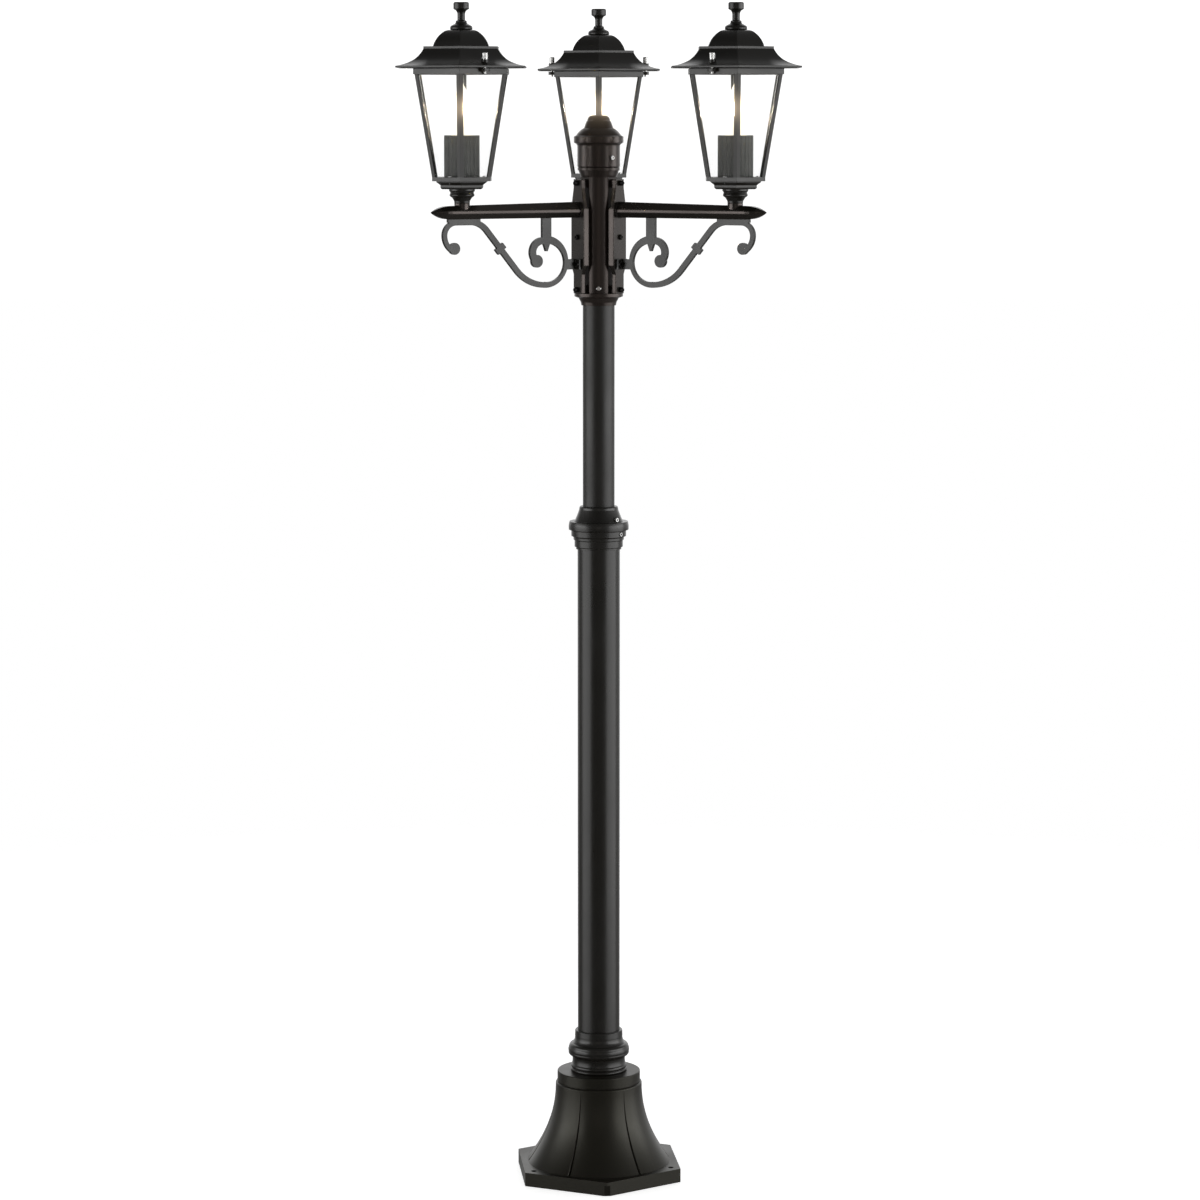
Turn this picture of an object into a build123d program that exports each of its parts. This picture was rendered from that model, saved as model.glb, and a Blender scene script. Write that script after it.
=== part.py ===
from build123d import *
from math import cos, radians, sin, tan
import os

# Triple head lamp post. Millimetres, +Z up. The origin is on the pole's axis at the ground.
# The rear arm points along +Y; the left and right arms point forward, 120 degrees from it.

# ------------------------------------------------------------------ driving dimensions
running_gap = 0.15          # radial clearance of a tube in its socket
slip_gap = 0.3              # radial clearance of a lid, a sleeve or a turning screw in its seat
bolt_gap = 0.1              # radial clearance of a screw in its hole
rest_gap = 0.3              # the lid stands this far above its shoulder

# Foot plate and bell
plate_radius = 144.0        # centre to corner of the hexagonal plate
plate_thickness = 22.0
plate_wall = 8.0            # rim of the plate round the hollow below
plate_skin = 7.0            # top skin of the plate
plate_turn = 5.5            # the plate's front corner lies this many degrees right of the front
anchor_circle = 254.0       # diameter of the circle of the three anchor holes
anchor_hole_radius = 4.5
anchor_pad_radius = 11.0
notch_width = 9.5           # shallow groove down the plate's front corner
notch_depth = 3.0
notch_height = 17.0
bell_height = 130.0
bell_bottom_radius = 116.3  # at the middle of a lobe
bell_top_radius = 69.3
bell_curve = 2.03           # how fast the flare straightens towards the top
bell_pinch = 2.6            # how far a lobe's two edges draw in at the bottom
bell_shoulder = 4.0         # the plain round ring above the lobes, and how much it is rounded
crease_depth = 4.2          # of the sharp crease between two lobes, at the bottom
crease_width = 5.0
crease_fade = 0.12          # share of both that is left at the top
bell_wall = 5.0
disc_radius = 66.5
disc_height = 18.0
disc_groove = 1.2
disc_edge = 1.5
web_thickness = 8.0

# Poles
lower_pole_radius = 33.5
lower_pole_wall = 2.5
lower_pole_length = 908.0
base_socket_depth = 36.0
upper_pole_radius = 25.0
upper_pole_wall = 2.0
upper_pole_length = 408.0
plug_height = 24.0
plug_chamfer = 1.5

# Tie, nipples and their nuts (all one thread)
tube_thread_radius = 5.0
tube_thread_bore = 4.0
tie_length = 44.0
nut_flats = 14.0
nut_height = 5.0

# Bottom collar, coupling and cone
collar_height = 66.5
collar_lip = 4.5            # wall of the collar at its upper edge
collar_belly = 11.0         # and of its thickest part
coupling_height = 44.0
coupling_skirt = 28.0       # how far the coupling reaches down over the lower pole
coupling_socket = 50.0      # how far the upper pole goes down into the coupling
coupling_floor = 4.0
cone_height = 24.0

# Hub
hub_socket_depth = 17.0
pole_spigot_depth = 25.0    # the hub's spigot reaches this far down inside the pole
hub_core_radius = 28.2
hub_flat = 24.8             # pole axis to the three flats behind the arms
hub_wire_radius = 18.5
hub_flange_radius = 38.2
hub_seat_width = 24.0       # raised seat behind each root plate
ear_seat_width = 12.0       # and behind its two ears
ear_seat_height = 13.0
hub_flange_z = 14.0         # heights in the hub are above the hub's lower edge
hub_flange_height = 5.0
hub_neck_z = 200.0
hub_shoulder_z = 210.5
hub_shoulder_radius = 33.0
hub_shoulder_height = 5.0
cap_spigot_height = 26.0
chamber_radius = 27.0
chamber_floor_z = 204.0
cap_wall = 2.6
cap_overhang = 0.4          # the lid's radius beyond the shoulder that it stands on
cap_height = 80.3
cap_rise = 43.0             # height of the lid's straight inside
cap_cone = 13.0             # and of the cone above it
seam_chamfer = 0.8          # on both edges of the seam under the lid
cap_screw_angle = 308.0

# Terminal plate and block
terminal_plate_thickness = 2.0
terminal_block_size = (34.0, 20.0, 16.0)
terminal_way_radius = 3.9   # the leads pass the plate through two of these holes
terminal_way_gap = 0.5      # between the block and those holes
terminal_corner = 2.0
terminal_poles = 3
clamp_radius = 2.2
clamp_rise = 5.6            # the clamps' height above the plate
clamp_screw_radius = 2.4
clamp_screw_depth = 7.0

# Arms
arm_angles = {"left": 210.0, "right": 330.0, "rear": 90.0}
arm_reach = 242.0           # pole axis to lantern axis
arm_ridge_z = 148.0         # the ridge's height above the hub's lower edge
arm_below_ridge = 10.5
arm_root_above = 14.0       # the bar's top above the ridge at the root
arm_tip_above = 10.0        # and at the nose
arm_ridge_half = 13.5
arm_flat_half = 6.5
arm_edge_height = 4.4       # height of the narrow face along the arm's ridge
arm_nose = 55.0             # lantern axis to the nose's end
nose_length = 32.0          # the last stretch, which rounds off to the tip
arm_bore_radius = 4.5
root_face = 38.2            # pole axis to the outer face of the root plate
root_plate_thickness = 9.4
root_plate_width = 39.2
root_plate_low = -87.0      # heights of the root plate relative to the ridge
root_plate_high = 5.5
root_plate_corner = 2.0
ear_width = 24.6
ear_thickness = 6.8
ear_low = -129.0
ear_high = 49.0
ear_taper_low = 12.0        # the ears widen into the plate over these heights
ear_taper_high = 30.0
ear_screw_inset = 6.0
root_bolt_drop = 41.0       # the dark bolt's depth below the ridge
boss_radius = 12.0
boss_rise = 14.5            # the lantern stands this far above the ridge

# Scroll brackets; their heights are below the arm's underside, radii from the pole axis
bar_width = 9.0             # of the long sweep and the bar under the pad
curl_width = 7.4
inner_curl_width = 11.0
bracket_thickness = 6.0
ring_outer = (97.0, -67.7, 40.5)    # place and radius of the ring's outer circle
ring_inner = (92.9, -69.6, 29.6)    # and of the opening in it
sweep_radius = 66.0         # the long bend from the ring to the slope
slope_angle = 50.0
slope_end = 200.0           # where the slope bends over to the bar under the pad
pad_depth = 5.0
pad_span = (211.5, 267.5)
stem_span = (86.5, 102.5)
spur_length = 11.5
spur_width = 12.0
spur_tip = 3.0
bump_place = 176.0          # the small collar on the slope
bump_size = (9.5, 17.5)
curl_place = 254.0          # where the outer curl leaves the bar
curl_radius = 19.0          # its upper quarter
curl_lower_radius = 27.5    # and its flatter lower stretch
curl_lower_turn = 61.0
outer_blob = (256.2, -45.0, 9.2)
inner_curl = (101.0, -53.0, 18.0)
inner_blob = (111.6, -66.7, 9.9)
foot_size = (5.0, 27.0, 16.0)
foot_drop = 72.5            # the foot's middle below the arm's underside

# Screws
screw_radius = 2.0
screw_head_radius = 3.8
screw_head_height = 2.6
small_screw_radius = 1.5
small_head_radius = 2.5
small_head_height = 1.6
bolt_radius = 2.5
bolt_head_radius = 4.2
bolt_head_height = 4.0
ear_head_height = 7.0
thread_depth = 3.5          # how far the small screws reach into what they hold
head_chamfer = 0.3          # share of a head's height
socket_share = 0.45         # apothem of a head's socket, as a share of its radius
socket_depth = 0.6          # and its depth, as a share of the head's height

# Lantern base
dish_height = 33.3
dish_recess_floor = 26.5
dish_top_apothem = 38.5

# Cage and panes
ring_height = 6.2
ring_hole_radius = 30.0
band_lip = 2.0              # how far the top band reaches in over the panes
cage_height = 155.7         # from the bottom ring to the top band
cage_bottom_apothem = 44.8
cage_top_apothem = 69.9
rib_thickness = 3.0
rib_flange = 5.8            # width of one wing of a rib
band_apothem = 72.0
band_height = 8.4
pane_thickness = 2.2
pane_corner_gap = 0.4       # between the inner edges of neighbouring panes
lug_reach = 9.5
lug_width = 13.0
lug_thickness = 5.0
lug_corner = 3.0

# Roof
seal_thickness = 1.4
seal_inset = 2.0            # from the band's outer face
seat_width = 6.0
roof_skin = 1.8
eave_apothem = 98.3
eave_thickness = 2.6
knee = (72.0, 11.5)         # apothem and height where the flare turns up into the slope
ledge_apothem = 56.6
ledge_height = 32.2
ledge_edge = 3.6            # upright edge below the ledge
dome_apothem = 42.4
crown_apothem = 19.6
roof_height = 57.4
thumb_screw_circle = 76.0   # lantern axis to a thumb screw
thumb_boss_radius = 5.2
thumb_boss_top = 12.0
thumb_boss_height = 6.0
thumb_head_radius = 4.2
thumb_head_height = 10.3
thumb_teeth = 18
tooth_radius = 0.5
tooth_start = 1.2           # height of the teeth's lower ends on the head
thumb_edge = 0.8
thumb_reach = 3.0           # the screw's end below the lug

# Finial
finial_height = 42.0
finial_knob_radius = 12.0
finial_stem_radius = 5.9
finial_disc_radius = 17.0
stud_radius = 3.0
stud_length = 12.0

# Lampholder, sleeve and bulb
sleeve_radius = 27.3
sleeve_wall = 2.6
sleeve_height = 76.4
sleeve_flutes = 24
flute_radius = 1.5
holder_radius = 20.0
holder_height = 56.0
holder_step = 22.0          # height of the holder's wider foot
nipple_reach = 6.0          # how far the nipple goes up into the holder
bulb_cap_radius = 13.2
bulb_cap_height = 26.0
bulb_cap_sink = 1.0         # the cap's edge below the holder's edge
bulb_cap_gap = 0.4          # radial clearance of the cap in its socket
bulb_thread_turns = 4
bulb_thread_pitch = 3.6
bulb_thread_start = 6.0
bulb_thread_depth = 0.6
bulb_glass_radius = 17.5
bulb_glass_height = 96.0
bulb_glass_wall = 1.0
bulb_tip_radius = 3.5
bulb_neck_step = 1.0        # the glass's neck inside the cap's edge

# ------------------------------------------------------------------ heights worked out from them
hex_tan = tan(radians(30))
plate_apothem = plate_radius * cos(radians(30))

base_top = plate_thickness + bell_height + disc_height
socket_floor = base_top - base_socket_depth
lower_pole_top = socket_floor + lower_pole_length
coupling_bottom = lower_pole_top - coupling_skirt
coupling_top = coupling_bottom + coupling_height
upper_pole_bottom = coupling_top - coupling_socket
upper_pole_top = upper_pole_bottom + upper_pole_length
hub_bottom = upper_pole_top - hub_socket_depth
ridge_z = hub_bottom + arm_ridge_z
arm_underside = ridge_z - arm_below_ridge
lantern_z = ridge_z + boss_rise
cage_z = lantern_z + dish_height
glass_bottom = cage_z + ring_height
band_z = glass_bottom + cage_height
roof_z = band_z + band_height + seal_thickness
cap_z = hub_bottom + hub_shoulder_z + hub_shoulder_height + rest_gap
holder_z = lantern_z + dish_recess_floor + nut_height
sleeve_z = lantern_z + dish_recess_floor
bulb_z = holder_z + holder_height - bulb_cap_height - bulb_cap_sink


# ------------------------------------------------------------------ shared shapes
def outline(start, *steps):
    """A closed face; each step is a corner, or a (through, end) pair for an arc."""
    edges = []
    here = start
    for step in steps:
        if isinstance(step[0], tuple):
            edges.append(ThreePointArc(here, step[0], step[1]))
            here = step[1]
        else:
            edges.append(Line(here, step))
            here = step
    edges.append(Line(here, start))
    return make_face(edges)


def turned(face):
    """A body turned about Z from a (radius, height) face."""
    return revolve(Plane.XZ * face, Axis.Z, 360)


def six_sided(face):
    """A body whose six sides all follow one (apothem, height) face; its corners lie at 0, 60, ..."""
    half = Plane.XZ * face
    slab = extrude(half + mirror(half, about=Plane.YZ), amount=2.5 * eave_apothem, both=True)
    return (Rot(0, 0, 30) * slab) & (Rot(0, 0, 90) * slab) & (Rot(0, 0, 150) * slab)


def hex_prism(apothem, low, high):
    """A hexagonal prism with its corners at 0, 60, ... degrees."""
    face = RegularPolygon(apothem, 6, major_radius=False, rotation=0)
    return Pos(0, 0, low) * extrude(face, amount=high - low)


def rod(radius, low, high):
    """An upright cylinder between two heights."""
    return Pos(0, 0, low) * Cylinder(radius, high - low, align=(Align.CENTER, Align.CENTER, Align.MIN))


def tube(outer, inner, low, high):
    """An upright tube between two heights."""
    return rod(outer, low, high) - rod(inner, low, high)


def block(x_span, y_span, z_span):
    """A box between two limits on each axis."""
    size = [high - low for low, high in (x_span, y_span, z_span)]
    middle = [(high + low) / 2 for low, high in (x_span, y_span, z_span)]
    return Pos(*middle) * Box(*size)


def radial(shape, angle, height):
    """Turn an upright shape so that its +Z points outward at this angle and height."""
    return Rot(0, 0, angle) * Pos(0, 0, height) * Rot(0, 90, 0) * shape


def sixfold(shape, start=0.0):
    """Six copies round the Z axis."""
    return [Rot(0, 0, start + 60 * i) * shape for i in range(6)]


def hex_nut(bore, low):
    """A hex nut standing on a height."""
    return hex_prism(nut_flats / 2, low, low + nut_height) - rod(bore, low, low + nut_height)


def screw(shank, head, head_height, inner, seat):
    """A screw along +Z: its tip at one distance, its head's underside at another."""
    head_body = rod(head, seat, seat + head_height)
    head_body = chamfer(head_body.edges().group_by(Axis.Z)[-1], head_height * head_chamfer)
    socket = hex_prism(head * socket_share, seat + head_height * (1 - socket_depth), seat + head_height)
    return rod(shank, inner, seat) + head_body - socket


def drilled(body, angle, height, inner, seat, radius=screw_radius, head=screw_head_radius):
    """Cut a screw's hole, from an inner radius outward, and the flat that its head sits on."""
    reach = 2 * plate_radius
    cut = rod(radius + bolt_gap, inner, seat + 1) + rod(head + slip_gap, seat, reach)
    return body - radial(cut, angle, height)


# ------------------------------------------------------------------ base
def lobed_face(height, share):
    """The bell's section at a share of its height: six arcs with a sharp crease between each two."""
    lobe = bell_radius(share)
    edge = bell_edge(share)
    crease = bell_crease(share)
    half_crease = crease_width * (1 - (1 - crease_fade) * share) / 2 / edge
    lines = []
    for i in range(6):
        middle = radians(60 * i)
        polar = (
            (edge, middle - radians(30) + half_crease), (lobe, middle),
            (edge, middle + radians(30) - half_crease), (crease, middle + radians(30)),
            (edge, middle + radians(30) + half_crease),
        )
        start, top, end, foot, following = [(r * cos(a), r * sin(a)) for r, a in polar]
        lines += [ThreePointArc(start, top, end), Line(end, foot), Line(foot, following)]
    return Pos(0, 0, height) * make_face(lines)


def bell_radius(share):
    """Lobe radius at a share of the bell's height, from the foot's flare to the straight top."""
    flare = bell_bottom_radius - bell_top_radius
    return bell_top_radius + flare * (1 - share) ** bell_curve


def bell_edge(share):
    """Radius of a lobe's two edges at a share of the bell's height."""
    return bell_radius(share) - bell_pinch * (1 - share) ** 1.5


def bell_crease(share):
    """Radius of a crease's bottom at a share of the bell's height."""
    return bell_edge(share) - crease_depth * (1 - (1 - crease_fade) * share)


def base_casting():
    shares = (0.0, 0.12, 0.26, 0.42, 0.6, 0.8, 1.0)
    lobes_height = bell_height - bell_shoulder
    bell = loft([lobed_face(plate_thickness + s * lobes_height, s) for s in shares])
    disc_low = base_top - disc_height
    shoulder = rod(bell_top_radius, disc_low - bell_shoulder, disc_low)
    bell += fillet(shoulder.edges().group_by(Axis.Z)[-1], bell_top_radius - disc_radius)
    plate = hex_prism(plate_apothem, 0, plate_thickness)
    notch_end = plate_radius - notch_depth
    notch = block((notch_end, plate_radius + 1), (-notch_width / 2, notch_width / 2), (-1, notch_height))
    disc = rod(disc_radius, disc_low, base_top)
    disc = fillet(disc.edges().group_by(Axis.Z)[-1], disc_edge)
    disc -= tube(disc_radius + 1, disc_radius - disc_groove, disc_low, disc_low + disc_groove)

    under_plate = hex_prism(plate_apothem - plate_wall, -1, plate_thickness - plate_skin)
    inner = [(0, -1), (bell_crease(0) - bell_wall, -1)]
    inner += [(bell_crease(s) - bell_wall, plate_thickness + s * lobes_height) for s in shares]
    web_low = socket_floor - web_thickness
    inner = [p for p in inner if p[1] < web_low]
    inner += [(inner[-1][0], web_low), (0, web_low)]
    anchors = []
    pads = []
    for corner in range(1, 6, 2):
        seat = Rot(0, 0, 60 * corner) * Pos(anchor_circle / 2, 0, 0)
        anchors.append(seat * rod(anchor_hole_radius, -1, plate_thickness + 1))
        pads.append(seat * rod(anchor_pad_radius, 0, plate_thickness))

    body = plate - notch - under_plate
    for pad in pads:
        body += pad & plate
    body += bell + disc
    body -= turned(outline(*inner))
    for hole in anchors:
        body -= hole
    body -= rod(lower_pole_radius + running_gap, socket_floor, base_top + 1)
    body -= rod(tube_thread_radius + bolt_gap, web_low - 1, socket_floor + 1)
    return Rot(0, 0, 270 + plate_turn) * body


def base_tie():
    low = socket_floor + plug_height - tie_length
    return tube(tube_thread_radius, tube_thread_bore, low, socket_floor + plug_height)


def pole_plug():
    radius = lower_pole_radius - lower_pole_wall - running_gap
    body = rod(radius, socket_floor, socket_floor + plug_height)
    body = chamfer(body.edges().group_by(Axis.Z)[-1], plug_chamfer)
    return body - rod(tube_thread_radius + bolt_gap, socket_floor, socket_floor + plug_height)


def bottom_collar():
    z = base_top
    bore = lower_pole_radius + running_gap
    lip = lower_pole_radius + collar_lip
    belly = lower_pole_radius + collar_belly
    face = outline(
        (bore, z), (belly - 0.4, z), ((belly + 0.6, z + 2.2), (belly - 0.4, z + 4.4)),
        (belly - 0.8, z + 5), ((belly + 0.2, z + 8.4), (belly - 1.6, z + 11.6)),
        ((belly - 2.4, z + 17), (belly - 1.8, z + 23)), (belly - 0.4, z + 25.4),
        ((belly + 3.2, z + 27.2), (belly + 3.9, z + 31)),
        ((belly + 4.4, z + 35.5), (belly + 3.2, z + 39.6)),
        ((belly + 1.6, z + 43.4), (belly - 2.2, z + 45)), ((lip + 1.1, z + 50), (lip + 0.2, z + 57)),
        (lip, z + collar_height - 1), (lip - 1, z + collar_height), (bore, z + collar_height),
    )
    return drilled(turned(face), 90, collar_screw_z, 0, collar_screw_seat)


collar_screw_z = base_top + collar_height - 5.2
collar_screw_seat = lower_pole_radius + collar_lip


# ------------------------------------------------------------------ poles and coupling
def lower_pole():
    inner = lower_pole_radius - lower_pole_wall
    return tube(lower_pole_radius, inner, socket_floor, lower_pole_top)


def upper_pole():
    inner = upper_pole_radius - upper_pole_wall
    return tube(upper_pole_radius, inner, upper_pole_bottom, upper_pole_top)


def coupling():
    z = coupling_bottom
    top = coupling_top
    skirt = lower_pole_radius + running_gap
    spigot = lower_pole_radius - lower_pole_wall - running_gap
    socket = upper_pole_radius + running_gap
    floor_low = upper_pole_bottom - coupling_floor
    wire = upper_pole_radius - upper_pole_wall
    r = lower_pole_radius
    outer = outline(
        (0, z), (r + 2.3, z), (r + 2.3, z + 2.8), (r + 4.7, z + 4), (r + 4.7, z + 14),
        (r + 6.4, z + 15.2), (r + 6.4, z + 19), (r + 9.9, z + 21), (r + 9.9, z + 29.6),
        (r + 13.7, z + 31), ((r + 13.9, (z + 31 + top) / 2), (r + 12.6, top)), (0, top),
    )
    body = turned(outer) - rod(skirt, z - 1, lower_pole_top)
    body += rod(spigot, floor_low, lower_pole_top)
    body -= rod(socket, upper_pole_bottom, top + 1)
    body -= rod(wire, floor_low - 1, upper_pole_bottom + 1)
    inner = lower_pole_radius - running_gap
    return drilled(body, coupling_screw_angle, coupling_screw_z, inner, coupling_screw_seat)


def coupling_cone():
    z = coupling_top
    bore = upper_pole_radius + running_gap
    r = upper_pole_radius
    top = z + cone_height
    face = outline(
        (bore, z), (r + 13.4, z), ((r + 9.4, z + 9), (r + 5.8, top - 5)),
        (r + 5.4, top - 1.6), (r + 4, top), (bore, top),
    )
    return drilled(turned(face), cone_screw_angle, cone_screw_z, 0, cone_screw_seat)


coupling_screw_angle = 323.0
coupling_screw_z = coupling_bottom + 25.3
coupling_screw_seat = lower_pole_radius + 8.6
cone_screw_angle = 318.0
cone_screw_z = coupling_top + screw_head_radius + 0.5
cone_screw_seat = upper_pole_radius + 12.0


# ------------------------------------------------------------------ hub, cap and terminals
def hub():
    z = hub_bottom
    core = hub_core_radius
    flange_top = z + hub_flange_z + hub_flange_height
    neck = z + hub_neck_z
    shoulder = z + hub_shoulder_z
    shoulder_top = shoulder + hub_shoulder_height
    spigot = cap_inner_radius - slip_gap
    spigot_top = shoulder_top + cap_spigot_height
    body = turned(outline(
        (0, z), (upper_pole_radius + 2.3, z), (core, z + 5), (core + 3.4, z + 11.5),
        (hub_flange_radius, z + hub_flange_z), (hub_flange_radius, flange_top), (core, flange_top),
        (core, neck), (core + 3.4, shoulder), (hub_shoulder_radius, shoulder),
        (hub_shoulder_radius, shoulder_top - seam_chamfer),
        (hub_shoulder_radius - seam_chamfer, shoulder_top),
        (spigot, shoulder_top), (spigot, spigot_top), (0, spigot_top),
    ))
    seat = hub_seat_width / 2
    ear_seat = ear_seat_width / 2
    ear_top = ridge_z + ear_high
    for angle in arm_angles.values():
        flat = block((hub_flat, hub_flange_radius), (-core, core), (flange_top, neck))
        seats = block((hub_flat - 1, plate_back), (-seat, seat), (root_plate_bottom, root_plate_top))
        for low in (flange_top, ear_top - ear_seat_height):
            span = (low, low + ear_seat_height)
            seats += block((hub_flat - 1, ear_back), (-ear_seat, ear_seat), span)
        body -= Rot(0, 0, angle) * flat
        body += Rot(0, 0, angle) * seats
    body -= rod(upper_pole_radius + running_gap, z - 1, upper_pole_top)
    body += rod(upper_pole_radius - upper_pole_wall - running_gap, z - pole_spigot_depth, upper_pole_top)
    body -= rod(hub_wire_radius, z - pole_spigot_depth, z + chamber_floor_z)
    body -= rod(chamber_radius, z + chamber_floor_z, spigot_top + 1)
    for angle in arm_angles.values():
        body -= radial(rod(arm_bore_radius, 0, root_face), angle, ridge_z)
        for height in (*ear_screw_heights, root_bolt_z):
            body -= radial(rod(bolt_radius + bolt_gap, 0, root_face), angle, height)
    return drilled(body, hub_screw_angle, hub_screw_z, 0, hub_core_radius)


plate_back = root_face - root_plate_thickness
ear_back = root_face - ear_thickness
root_plate_bottom = ridge_z + root_plate_low
root_plate_top = ridge_z + root_plate_high
cap_inner_radius = hub_shoulder_radius + cap_overhang - cap_wall
hub_screw_z = hub_bottom + 27.0
hub_screw_angle = 270.0
ear_screw_heights = (ridge_z + ear_low + ear_screw_inset, ridge_z + ear_high - ear_screw_inset)
root_bolt_z = ridge_z - root_bolt_drop
cap_screw_z = cap_z + 14.5


def hub_cap():
    z = cap_z
    body_radius = cap_inner_radius + cap_wall
    top = z + cap_height
    body = turned(outline(
        (0, z), (body_radius - seam_chamfer, z), (body_radius, z + seam_chamfer),
        (body_radius, z + 33.4), (body_radius + 1.5, z + 35.6),
        (body_radius + 5.4, z + 38), (body_radius + 5.4, z + 47.2), (body_radius + 2, z + 48.8),
        ((body_radius - 1.6, z + 53.6), (body_radius - 10.6, z + 60.4)),
        ((body_radius - 12.2, z + 65.5), (body_radius - 14.4, top - 9.4)),
        (body_radius - 15.6, top - 8.6), ((body_radius - 17.6, top - 3), (body_radius - 24, top)),
        (0, top),
    ))
    body -= turned(outline(
        (0, z - 1), (cap_inner_radius, z - 1), (cap_inner_radius, z + cap_rise),
        (cap_inner_radius - 9, z + cap_rise + cap_cone), (0, z + cap_rise + cap_cone),
    ))
    return drilled(body, cap_screw_angle, cap_screw_z, 0, body_radius)


def terminal_plate():
    low = hub_bottom + chamber_floor_z
    body = rod(chamber_radius - slip_gap, low, low + terminal_plate_thickness)
    way = terminal_block_size[1] / 2 + terminal_way_radius + terminal_way_gap
    for side in (-1, 1):
        body -= Pos(0, side * way, 0) * rod(terminal_way_radius, low, low + terminal_plate_thickness)
    return body


def terminal_block():
    low = hub_bottom + chamber_floor_z + terminal_plate_thickness
    width, depth, height = terminal_block_size
    body = block((-width / 2, width / 2), (-depth / 2, depth / 2), (low, low + height))
    body = chamfer(body.edges().filter_by(Axis.Z), terminal_corner)
    pitch = width / terminal_poles
    for i in range(terminal_poles):
        x = (i + 0.5) * pitch - width / 2
        body -= Pos(x, 0, 0) * rod(clamp_screw_radius, low + height - clamp_screw_depth, low + height + 1)
        body -= Pos(x, 0, low + clamp_rise) * Rot(90, 0, 0) * Cylinder(clamp_radius, 2 * depth)
    return body


# ------------------------------------------------------------------ arms
def arm_section(distance, share, root=False):
    """An eight-cornered section across the arm, at a share of its full size."""
    above = (arm_root_above if root else arm_tip_above) * share
    below = arm_below_ridge * share
    edge = arm_edge_height / 2 * share
    wide = arm_ridge_half * share
    narrow = arm_flat_half * share
    points = [
        (-narrow, -below), (narrow, -below), (wide, -edge), (wide, edge),
        (narrow, above), (-narrow, above), (-wide, edge), (-wide, -edge),
    ]
    plane = Plane(origin=(distance, 0, ridge_z), x_dir=(0, 1, 0), z_dir=(1, 0, 0))
    return plane * make_face(Polyline(*points, close=True))


def arm_nose_part():
    """The nose: its section shrinks towards the tip as a parabola does."""
    nose_start = arm_reach + arm_nose - nose_length
    sections = []
    for share in (0, 0.25, 0.5, 0.72, 0.88, 0.97):
        sections.append(arm_section(nose_start + share * nose_length, 1 - share ** 2))
    return loft(sections, ruled=True)


def arm():
    nose_start = arm_reach + arm_nose - nose_length
    bar = loft([arm_section(root_face - 1, 1, root=True), arm_section(nose_start, 1)], ruled=True)
    half_plate = root_plate_width / 2
    half_ear = ear_width / 2
    plate = block((plate_back, root_face), (-half_plate, half_plate), (root_plate_bottom, root_plate_top))
    plate = chamfer(plate.edges().filter_by(Axis.X), root_plate_corner)
    ear_outline = []
    for side in (-1, 1):
        corners = [
            (side * half_ear, ridge_z + ear_low), (side * half_ear, root_plate_bottom - ear_taper_low),
            (side * half_plate, root_plate_bottom + root_plate_corner),
            (side * half_plate, root_plate_top - root_plate_corner),
            (side * half_ear, root_plate_top + ear_taper_high), (side * half_ear, ridge_z + ear_high),
        ]
        ear_outline += corners if side > 0 else corners[::-1]
    face = Plane(origin=(ear_back, 0, 0), x_dir=(0, 1, 0), z_dir=(1, 0, 0))
    face *= make_face(Polyline(*ear_outline, close=True))
    ears = extrude(face, amount=ear_thickness)
    boss = Pos(arm_reach, 0, 0) * rod(boss_radius, ridge_z, lantern_z)
    body = bar + arm_nose_part() + plate + ears + boss
    body -= radial(rod(arm_bore_radius, 0, arm_reach), 0, ridge_z)
    nipple_hole = rod(tube_thread_radius + bolt_gap, ridge_z - tube_thread_radius, lantern_z + 1)
    body -= Pos(arm_reach, 0, 0) * nipple_hole
    for height in (*ear_screw_heights, root_bolt_z):
        body -= radial(rod(bolt_radius + bolt_gap, 0, root_face + 1), 0, height)
    for side in (-1, 1):
        hole = rod(screw_radius + bolt_gap, root_face - thread_depth - 1, root_face + 1)
        body -= Pos(0, side * foot_screw_offset, 0) * radial(hole, 0, foot_z)
    hole = rod(small_screw_radius + bolt_gap, arm_underside - 1, arm_underside + thread_depth + 1)
    return body - Pos(pad_middle, 0, 0) * hole


foot_z = arm_underside - foot_drop
foot_screw_offset = foot_size[1] / 2 - screw_head_radius - 0.5
pad_middle = sum(pad_span) / 2
pad_low = arm_underside - pad_depth - bar_width / 2
pad_screw_z = pad_low + small_head_height


# ------------------------------------------------------------------ scroll brackets
def arc_about(centre, radius, start, end):
    """The arc round a centre from one angle to another, in degrees."""
    middle = (start + end) / 2
    points = []
    for angle in (start, middle, end):
        a = radians(angle)
        points.append((centre[0] + radius * cos(a), centre[1] + radius * sin(a)))
    return ThreePointArc(*points)


def round_spot(spot):
    """A filled circle from its (radius, height, size)."""
    return Pos(spot[0], spot[1]) * Circle(spot[2])


def sweep_lines():
    """The bar's middle line: long bend, slope, bend to the pad and the stretch under it."""
    ring_low = (ring_outer[1] - ring_outer[2] + ring_inner[1] - ring_inner[2]) / 2
    bend = arc_about((ring_outer[0], ring_low + sweep_radius), sweep_radius, -90, slope_angle - 90)
    start = bend @ 1
    rise = tan(radians(slope_angle))
    top = (slope_end, start.Y + rise * (slope_end - start.X))
    radius = (-pad_depth - top[1]) / (1 - cos(radians(slope_angle)))
    centre = (slope_end + radius * sin(radians(slope_angle)), -pad_depth - radius)
    over = arc_about(centre, radius, 90 + slope_angle, 90)
    return [bend, Line(start, top), over, Line((centre[0], -pad_depth), (curl_place, -pad_depth))]


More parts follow.
